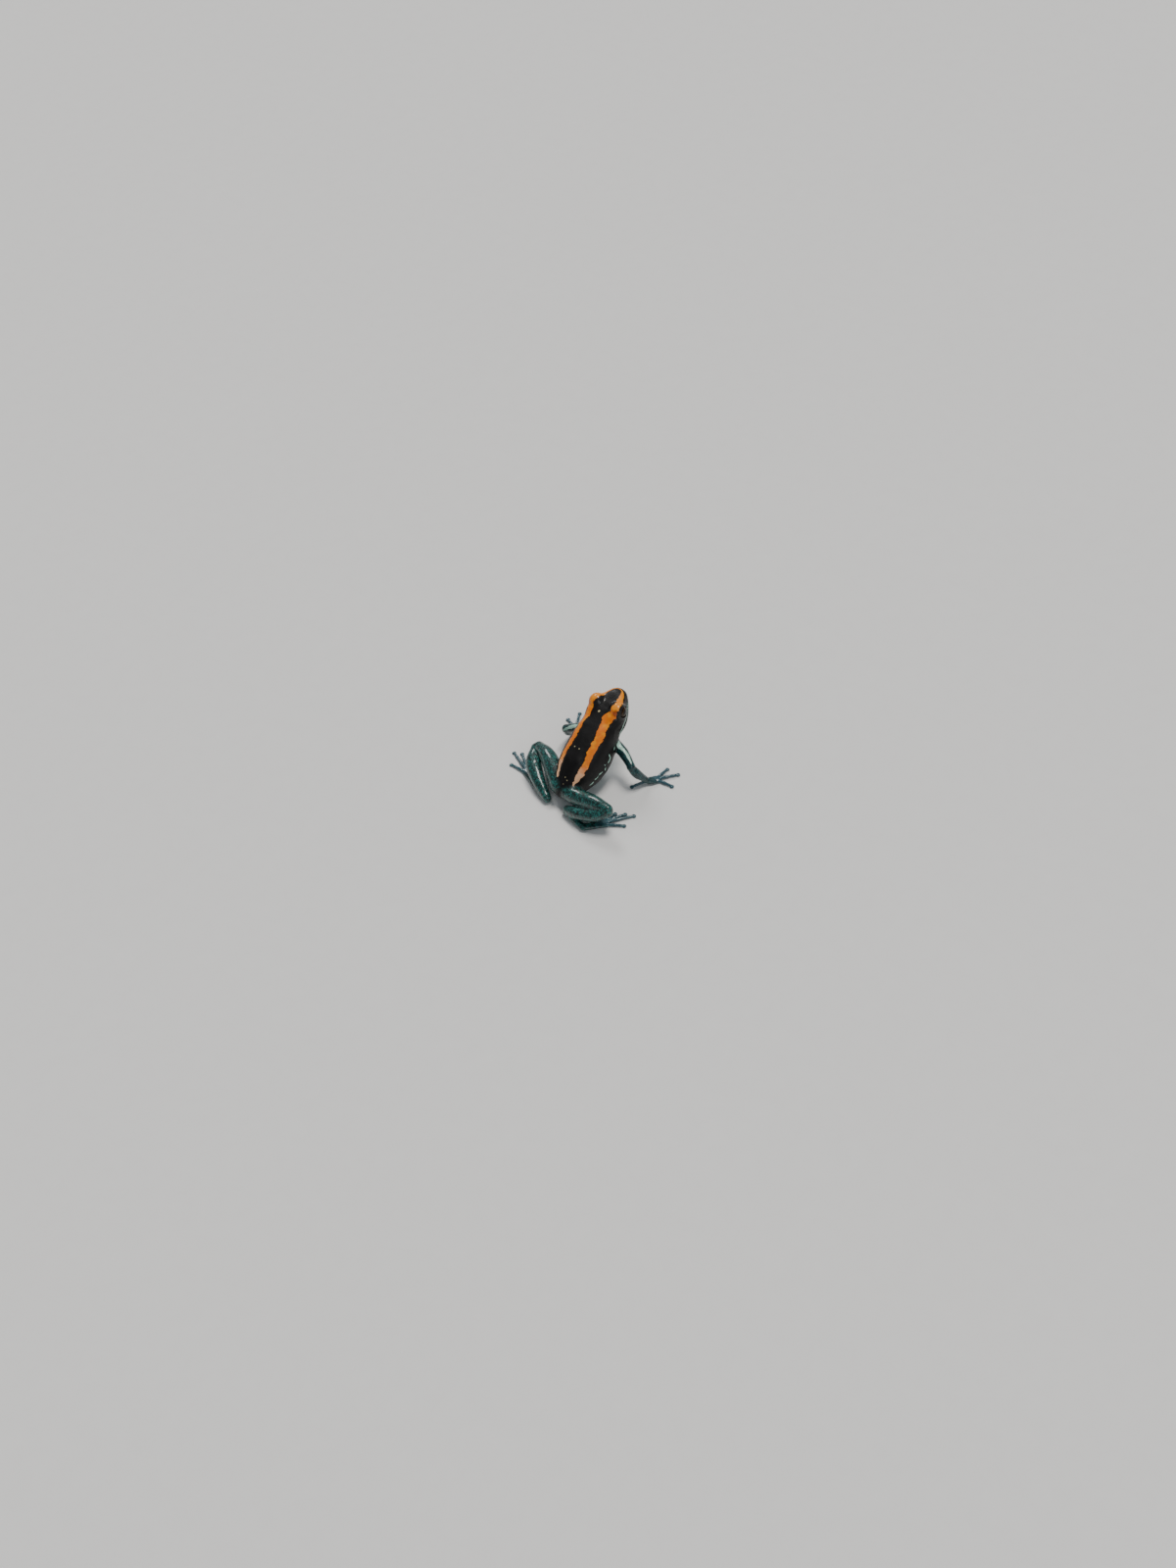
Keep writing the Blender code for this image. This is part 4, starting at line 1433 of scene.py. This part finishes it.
def granule_group(smooth: float = 0.35, gap: Pair = (0.10, 0.75), wide: float = 0.35) -> bpy.types.NodeTree:
    """Makes the group for the skin's fine relief: close round granules over a softer unevenness.

    Args:
        smooth: how softly one granule runs into the next.
        gap: how far from a granule's middle, in cells, its fall starts and ends.
        wide: the unevenness's scale, as a share of the granules'.

    Returns:
        The group. Height is the granules, 1 in each middle and 0 in the gaps between, plus noise.
    """
    n, (place, granule, amount, wave) = new_group("Granules", Granule=0.25, Amount=0.5, Wave=0.5)
    scale = PER_METRE / granule
    cells = {"Vector": place, "Scale": scale, "Smoothness": smooth}
    top = 1.0 - n.step(n.wire("TexVoronoi", cells, "Distance", feature="SMOOTH_F1"), *gap)
    low = n.noise(place, scale * wide, detail=3.0)
    return n.give(Height=top * amount + low * wave, Gap=1.0 - top)


def mottle_group(
    fine: float = 3.1, shares: Pair = (0.62, 0.38), level: Pair = (0.34, 0.32)
) -> bpy.types.NodeTree:
    """Makes the group for mottled colour.

    Args:
        fine: how many times finer the second noise is.
        shares: the shares of the first noise and the second.
        level: the threshold at full cover, and what it gains down to none.

    Returns:
        The group. Two sizes of noise are read as spots above a threshold, lower for a larger cover.
    """
    n, (place, lump, cover, soft) = new_group("Mottle", Lump=0.6, Cover=0.5, Soft=0.06)
    scale = PER_METRE / lump
    both = n.noise(place, scale, distortion=0.6) * shares[0] + n.noise(place, scale * fine) * shares[1]
    edge = more(1.0 - cover, *level)
    return n.give(Spots=n.step(both, edge - soft, edge + soft))


@dataclass(frozen=True)
class Spots:
    """Mottling: the size of its lumps in millimetres, its cover, its softness and its strength."""

    lump: float
    cover: Number
    soft: float
    strength: Number = 1.0


@dataclass(frozen=True)
class Mark:
    """A marking: its attribute, its edge's lumps, swing and softness in millimetres, its strength."""

    name: str
    lump: float
    swing: Number
    soft: float
    strength: float = 1.0


@dataclass(frozen=True)
class SkinFinish:
    """The frog's wet skin: black ground, orange bands, pale marks, mottled teal limbs, with painted
    shade in creases, granule gaps and round the lids, and a painted highlight on the head's band.

    Granules, swing, roughness and wetness are pairs of a base and what a share adds to it: the limbs,
    the even snout, the gaps between granules and the lids. A cloud is the size of its noise in
    millimetres and its strength.
    """

    black: Colour = (0.0016, 0.0016, 0.0018, 1.0)
    back_brown: Colour = (0.0045, 0.0026, 0.0022, 1.0)
    orange: Colour = (0.88, 0.200, 0.000, 1.0)
    # Yellow orange: the painted highlight on the head's band, and its random lighter patches of tone.
    yellow_orange: Colour = (1.00, 0.330, 0.000, 1.0)
    # Dark red for the painted shade round the lids.
    painted_lid_shade: Colour = (0.36, 0.045, 0.001, 1.0)
    peach: Colour = (0.98, 0.56, 0.31, 1.0)
    mint: Colour = (0.50, 0.80, 0.66, 1.0)
    lip_green: Colour = (0.46, 0.68, 0.58, 1.0)
    speck: Colour = (0.66, 0.58, 0.32, 1.0)
    teal_dark: Colour = (0.0006, 0.0035, 0.0035, 1.0)
    teal: Colour = (0.0045, 0.060, 0.053, 1.0)
    turquoise: Colour = (0.034, 0.290, 0.255, 1.0)
    arm_teal: Colour = (0.0040, 0.045, 0.052, 1.0)
    digit_blue: Colour = (0.026, 0.100, 0.135, 1.0)
    granule: float = 0.27
    relief: float = 0.045
    granule_amount: Pair = (0.25, 0.65)
    granule_wave: Pair = (0.4, 1.3)
    stripe_swing: Pair = (0.58, -0.50)
    gap_rough: Pair = (0.22, 0.10)
    body_rough: float = 0.14
    crease_rough: float = 0.45
    lid_wet: Pair = (0.05, 0.50)
    limb_wet: float = 0.70
    head_highlight_span: Pair = (20.8, 22.6)
    head_highlight_share: float = 0.60
    glow_size: float = 1.2
    glow_fade: Pair = (0.45, 0.68)
    even_snout: Pair = (24.2, 25.4)
    pale_rear: Pair = (6.9, 10.2)
    rear_cloud: Pair = (1.0, 3.0)
    rear_peach: float = 0.95
    brown_cloud: Pair = (1.6, 0.55)
    rough_cloud: Pair = (2.2, 0.16)
    gap_shade: float = 0.75
    leg_blue: float = 0.7
    arm_blue: float = 0.8
    crease_shade: float = 0.9
    patch_lump: float = 1.5
    patch_soft: float = 0.05
    patch_gap_shade: float = 0.35
    belly_cover: Pair = (0.95, 0.36)
    stripe_lump: float = 1.0
    stripe_soft: float = 0.04
    index: float = 1.37
    coat_rough: float = 0.10
    leg_mottle: Spots = Spots(1.5, 0.58, 0.08)
    leg_spots: Spots = Spots(0.5, 0.46, 0.06, 0.85)
    arm_mottle: Spots = Spots(0.9, 0.62, 0.16)
    arm_spots: Spots = Spots(0.45, 0.22, 0.08, 0.4)
    belly_mottle: Spots = Spots(1.2, 0.5, 0.14)
    lid_shade_mark: Mark = Mark("lid_shade_mm", 0.8, 0.45, 0.30, 0.8)
    lip_mark: Mark = Mark("lip_mm", 0.4, 0.18, 0.06, 0.95)
    flank_mark: Mark = Mark("flank_mm", 0.55, 0.24, 0.05)
    arm_mark: Mark = Mark("arm_mm", 0.8, 0.28, 0.07)
    speck_mark: Mark = Mark("speck_mm", 0.3, 0.13, 0.05)

    def material(self) -> bpy.types.Material:
        """Builds the skin's material from the mesh's markings.

        Returns:
            The material: each mark is a distance read with a ragged edge and laid over the ground.
        """
        material, n = new_material("frog_skin")
        place = n.place()
        ragged, granules, mottle = ragged_edge_group(), granule_group(), mottle_group()

        def mark(m: Mark) -> Wire:
            """Reads one marking through the ragged edge group."""
            inputs = (place, n.attribute(m.name), m.lump, m.swing, m.soft)
            return n.wire("Group", inputs, node_tree=ragged) * m.strength

        def spots(m: Spots) -> Wire:
            """Reads the mottle group."""
            return n.wire("Group", (place, m.lump, m.cover, m.soft), node_tree=mottle) * m.strength

        def cloud(size: float, strength: float) -> Wire:
            """Gives soft noise of a size in millimetres."""
            return n.noise(place, PER_METRE / size) * strength

        along, limb, arm = n.attribute("along_mm"), n.attribute("limb"), n.attribute("arm")
        digit, belly, crease = n.attribute("digit"), n.attribute("belly"), n.attribute("crease")
        amount, wave = more(limb, *self.granule_amount), more(limb, *self.granule_wave)
        skin = n.add("Group", (place, self.granule, amount, wave), node_tree=granules)
        height, gap = (Wire(n, skin.outputs[name]) for name in ("Height", "Gap"))

        leg = n.mix(spots(self.leg_mottle), self.teal_dark, self.teal)
        # Painted shade: the gaps between granules are darkened.
        dark = gap * self.gap_shade
        leg = n.mix(dark, n.mix(spots(self.leg_spots), leg, self.turquoise), self.teal_dark)
        leg = n.mix(digit * self.leg_blue, leg, self.digit_blue)
        fore = n.mix(spots(self.arm_mottle), self.teal_dark, self.arm_teal)
        blue = digit * self.arm_blue
        fore = n.mix(blue, n.mix(spots(self.arm_spots), fore, self.turquoise), self.digit_blue)
        wide, least = self.belly_cover
        # Painted shade: the belly's patches are fainter in the gaps between granules.
        cover, strength = belly * wide - least, 1.0 - gap * self.patch_gap_shade
        patches = spots(Spots(self.patch_lump, cover, self.patch_soft, strength))
        patch_colour = n.mix(spots(self.belly_mottle), self.teal, self.turquoise)
        ground = n.mix(cloud(*self.brown_cloud), self.black, self.back_brown)
        ground = n.mix(limb, n.mix(patches, ground, patch_colour), n.mix(arm, leg, fore))

        # Painted highlight: the band is yellower from the lids forward; the noise adds random yellow
        # patches of tone.
        light = n.step(along, *self.head_highlight_span) * self.head_highlight_share
        light = light + n.step(n.noise(place, PER_METRE / self.glow_size), *self.glow_fade)
        band = n.mix(n.math("MINIMUM", light, 1.0), self.orange, self.yellow_orange)
        # Painted shade: the band turns dark red in patches round the lids.
        band = n.mix(mark(self.lid_shade_mark), band, self.painted_lid_shade)
        rear = 1.0 - n.step(along + cloud(*self.rear_cloud), *self.pale_rear)
        band = n.mix(rear * self.rear_peach, band, self.peach)
        swing = more(n.step(along, *self.even_snout), *self.stripe_swing)
        stripe = Mark("stripe_mm", self.stripe_lump, swing, self.stripe_soft)
        colour = n.mix(mark(stripe), ground, band)
        colour = n.mix(mark(self.lip_mark), colour, self.lip_green)
        colour = n.mix(mark(self.flank_mark), colour, self.mint)
        colour = n.mix(mark(self.arm_mark), colour, self.mint)
        colour = n.mix(mark(self.speck_mark), colour, self.speck)
        # Painted shade in the creases: the mouth's line, the nostrils and the eye sockets go black.
        colour = n.mix(crease * self.crease_shade, colour, self.black)

        bump = n.wire("Bump", {"Strength": 1.0, "Distance": self.relief * MM, "Height": height})
        rough = cloud(*self.rough_cloud) + more(gap, *self.gap_rough)
        rough = rough + (1.0 - limb) * self.body_rough + crease * self.crease_rough
        wet = (limb * self.limb_wet + more(n.attribute("lid"), *self.lid_wet)) * (1.0 - crease)
        n.finish(
            Base_Color=colour, Roughness=rough, Normal=bump, IOR=self.index,
            Coat_Weight=wet, Coat_Roughness=self.coat_rough,
        )
        return material


@dataclass(frozen=True)
class EyeFinish:
    """The eye: an almost black iris with bronze flecks, a level oval pupil, a wet clear surface.

    The fades of ring and pupil are in radii of the pupil, the iris's in radii of the eye.
    """

    iris: Colour = (0.0080, 0.0040, 0.0020, 1.0)
    fleck: Colour = (0.044, 0.019, 0.005, 1.0)
    ring: Colour = (0.13, 0.065, 0.016, 1.0)
    white: Colour = (0.0020, 0.0018, 0.0018, 1.0)
    pupil: Colour = (0.001, 0.001, 0.001, 1.0)
    pupil_size: Pair = (0.44, 0.33)
    ray_stretch: Triple = (4.0, 2.2, 0.3)
    ray_scale: float = 2.4
    fleck_fade: Pair = (0.42, 0.68)
    ring_fade: Pair = (1.05, 1.30)
    ring_share: float = 0.75
    pupil_fade: Pair = (0.97, 1.03)
    iris_fade: Pair = (0.84, 0.94)
    roughness: float = 0.04
    index: float = 1.376

    def material(self) -> bpy.types.Material:
        """Builds the eye's material from its own map, whose middle is the middle of the pupil.

        Returns:
            The material: rings by distance from the middle, with flecks that run outwards.
        """
        material, n = new_material("frog_eye")
        uv = n.wire("UVMap", uv_map="iris")
        flat = n.wire("VectorMath", (uv, (2.0, 2.0, 0.0), (-1.0, -1.0, 0.0)), operation="MULTIPLY_ADD")
        parts = n.add("SeparateXYZ", (flat,))
        x, y = (Wire(n, parts.outputs[k]) for k in (0, 1))
        radius = n.math("SQRT", x * x + y * y)
        px, py = x / self.pupil_size[0], y / self.pupil_size[1]
        pupil = n.math("SQRT", px * px + py * py)
        turns, lengths, level = self.ray_stretch
        rays = n.wire("CombineXYZ", (n.math("ARCTAN2", y, x) * turns, radius * lengths, level))
        flecks = n.step(n.noise(rays, self.ray_scale, detail=4.0), *self.fleck_fade)
        iris = n.mix(flecks, self.iris, self.fleck)
        iris = n.mix((1.0 - n.step(pupil, *self.ring_fade)) * self.ring_share, iris, self.ring)
        colour = n.mix(n.step(pupil, *self.pupil_fade), self.pupil, iris)
        colour = n.mix(n.step(radius, *self.iris_fade), colour, self.white)
        n.finish(Base_Color=colour, Roughness=self.roughness, IOR=self.index)
        return material


FLESH = ("upper_arm", "forearm", "hand", "thigh", "shank", "tarsus", "foot")


@dataclass
class Skin:
    """The frog's whole outer skin, one closed piece, with its markings."""

    shape: FrogShape
    finish: SkinFinish = SkinFinish()
    nodes: tuple[str, ...] = (
        "torso", "head", *(f"{part}_{side.name.lower()}" for side in Side for part in FLESH)
    )

    def build(self) -> bpy.types.Object:
        """Makes the skin and puts its markings on it.

        Returns:
            The skin object, riding on the body and standing for the flesh nodes.
        """
        points, faces = SkinMesh(self.shape).build()
        obj = mesh_object("frog_skin", BODY.to_world(points), faces)
        for name, values in Markings().measure(points, self.shape).items():
            attribute = obj.data.attributes.new(name, "FLOAT", "POINT")
            attribute.data.foreach_set("value", values.astype(np.float32))
        obj.data.materials.append(self.finish.material())
        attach(obj, "root")
        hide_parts(*self.nodes)
        return obj


@dataclass
class Eye:
    """One eyeball: a globe with a fuller clear front, seen through the opening of the lids.

    The bulge is how much fuller the front is, over a bell of the given width in radians, and the
    whole globe stands forward of the lids' middle.
    """

    side: Side
    head: Head
    material: bpy.types.Material
    rings: int = 40
    spokes: int = 64
    bulge: float = 0.15
    bulge_width: float = 0.75
    forward: float = 0.14

    def faces(self) -> np.ndarray:
        """Joins the rings with triangles, and closes the two poles with a fan each.

        Returns:
            (m, 3) corner numbers, ring by ring from the front, the poles numbered last.
        """
        here = np.arange((self.rings - 1) * self.spokes).reshape(-1, self.spokes)
        beside = np.roll(here, -1, 1)
        front, rear = (np.full(self.spokes, here.size + k) for k in (0, 1))
        triangles = (
            (here[:-1], here[1:], beside[1:]),
            (here[:-1], beside[1:], beside[:-1]),
            (front, here[0], beside[0]),
            (here[-1], rear, beside[-1]),
        )
        return np.concatenate([np.stack([k.ravel() for k in corners], 1) for corners in triangles])

    def build(self) -> bpy.types.Object:
        """Makes the globe on a grid of rings round the eye's axis.

        Returns:
            The eye object. A point's distance from the middle is the radius, plus the bulge times a
            bell of its angle from the axis.
        """
        angle = np.linspace(0.0, math.pi, self.rings + 1)[1:-1]
        turn = np.linspace(0.0, 2 * math.pi, self.spokes, endpoint=False)
        t, u = (grid.ravel() for grid in np.meshgrid(angle, turn, indexing="ij"))
        flat = np.stack([np.sin(t) * np.cos(u), np.sin(t) * np.sin(u), np.cos(t)], 1)
        flat = np.concatenate([flat, [[0.0, 0.0, 1.0], [0.0, 0.0, -1.0]]])
        swell = self.bulge * bell(np.concatenate([t, [0.0, math.pi]]), self.bulge_width)
        axes = self.head.eye_axes()
        local = (flat * (self.head.eye_radius + swell)[:, None]) @ axes
        local += np.array(self.head.eye) + self.forward * axes[2]
        local[:, 1] *= self.side.value
        name = f"eyeball_{self.side.name.lower()}"
        obj = mesh_object(name, BODY.to_world(BODY.from_trunk(local)), self.faces())
        layer = obj.data.uv_layers.new(name="iris")
        corner = np.zeros(len(obj.data.loops), np.int32)
        obj.data.loops.foreach_get("vertex_index", corner)
        layer.data.foreach_set("uv", (0.5 + 0.5 * flat[corner][:, :2]).astype(np.float32).ravel())
        obj.data.materials.append(self.material)
        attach(obj, "root")
        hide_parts(f"eye_{self.side.name.lower()}")
        return obj


@dataclass(frozen=True)
class Light:
    """One broad soft light: the way to it from the frog, its strength and its width in degrees.

    It shines the same everywhere, and away is only how far off its object stands.
    """

    name: str
    way: Triple
    strength: float
    width: float
    tint: Triple = (1.0, 1.0, 1.0)
    away: float = 0.6

    def build(self) -> bpy.types.Object:
        """Makes a far lamp that shines the same on the whole floor, so the floor keeps one tone.

        Returns:
            The lamp object, turned to the frog.
        """
        lamp = bpy.data.lights.new(self.name, "SUN")
        lamp.energy, lamp.angle, lamp.color = self.strength, math.radians(self.width), self.tint
        obj = placed(self.name, lamp)
        way = Vector(self.way).normalized()
        turn = way.to_track_quat("Z", "Y").to_matrix().to_4x4()
        obj.matrix_world = Matrix.Translation(way * self.away) @ turn
        return obj


@dataclass
class Studio:
    """The plain pale floor, the soft light and the camera of the photograph.

    The camera stands the distance away from the middle along back, and right is its own right.
    """

    floor_size: float = 6.0
    floor_colour: Colour = (0.93, 0.92, 0.90, 1.0)
    floor_shade: float = 0.96
    floor_lump: float = 4.0
    floor_rough: float = 0.85
    sky: Colour = (0.80, 0.85, 0.92, 1.0)
    sky_strength: float = 0.22
    backdrop: Colour = (0.81, 0.80, 0.785, 1.0)
    lights: tuple[Light, ...] = (
        Light("key_light", (-0.05, -0.30, 0.95), 1.7, 20.0, (1.0, 0.97, 0.93)),
        Light("side_light", (-0.75, 0.35, 0.55), 0.40, 30.0, (0.93, 0.97, 1.0)),
        Light("fill_light", (0.62, -0.45, 0.64), 0.90, 18.0),
    )
    middle: Triple = (-0.0009, -0.0006, 0.0060)
    back: Triple = (-0.495, 0.487, 0.719)
    right: Triple = (-0.775, -0.621, -0.1135)
    distance: float = 0.4692
    lens: float = 50.0
    sensor: float = 36.0
    clip: Pair = (0.01, 20.0)
    shift: Pair = (-0.0010, -0.0183)

    def floor(self) -> bpy.types.Object:
        """Lays the floor: a flat square with a faint unevenness of tone.

        Returns:
            The floor object.
        """
        half = self.floor_size / 2
        points = np.array([(-half, -half, 0.0), (half, -half, 0.0), (half, half, 0.0), (-half, half, 0.0)])
        obj = mesh_object("floor", points, np.array([[0, 1, 2], [0, 2, 3]]))
        material, n = new_material("floor_paper")
        darker = (*(self.floor_shade * c for c in self.floor_colour[:3]), 1.0)
        tone = n.mix(n.noise(n.place(), PER_METRE / self.floor_lump), self.floor_colour, darker)
        n.finish(Base_Color=tone, Roughness=self.floor_rough)
        obj.data.materials.append(material)
        return obj

    def world(self) -> None:
        """Sets the surroundings: a dim even sky that lights the frog, seen as the floor's own tone."""
        world = bpy.data.worlds.new("studio")
        world.use_nodes = True
        n = Nodes(world.node_tree)
        lit = n.wire("Background", {"Color": self.sky, "Strength": self.sky_strength})
        seen = n.wire("Background", {"Color": self.backdrop, "Strength": 1.0})
        path = n.wire("LightPath", output="Is Camera Ray")
        n.add("OutputWorld", {"Surface": n.wire("MixShader", (path, lit, seen))})
        bpy.context.scene.world = world

    def camera(self) -> bpy.types.Object:
        """Sets up the camera at the photograph's viewing angle and framing.

        Returns:
            The camera object, with its right set square to the way back.
        """
        data = bpy.data.cameras.new("camera")
        data.lens, data.sensor_width = self.lens, self.sensor
        data.shift_x, data.shift_y = self.shift
        data.clip_start, data.clip_end = self.clip
        back, right = Vector(self.back).normalized(), Vector(self.right)
        right = (right - back * right.dot(back)).normalized()
        turn = Matrix((right, back.cross(right), back)).transposed()
        obj = placed("camera", data)
        obj.matrix_world = Matrix.Translation(Vector(self.middle) + back * self.distance) @ turn.to_4x4()
        bpy.context.scene.camera = obj
        return obj

    def build(self) -> None:
        """Sets up floor, light and camera."""
        self.floor()
        self.world()
        for light in self.lights:
            light.build()
        self.camera()


def report(obj: bpy.types.Object) -> None:
    """Logs a finished piece with its size."""
    LOG.info("%s: %d points, %d faces", obj.name, len(obj.data.vertices), len(obj.data.polygons))


def main() -> None:
    """Builds the skin, the eyes and the studio."""
    logging.basicConfig(level=logging.INFO, format="%(name)s: %(message)s")
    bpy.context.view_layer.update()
    shape = FrogShape()
    report(Skin(shape).build())
    eye_material = EyeFinish().material()
    for side in Side:
        report(Eye(side, shape.head, eye_material).build())
    Studio().build()


if __name__ == "__main__":
    main()
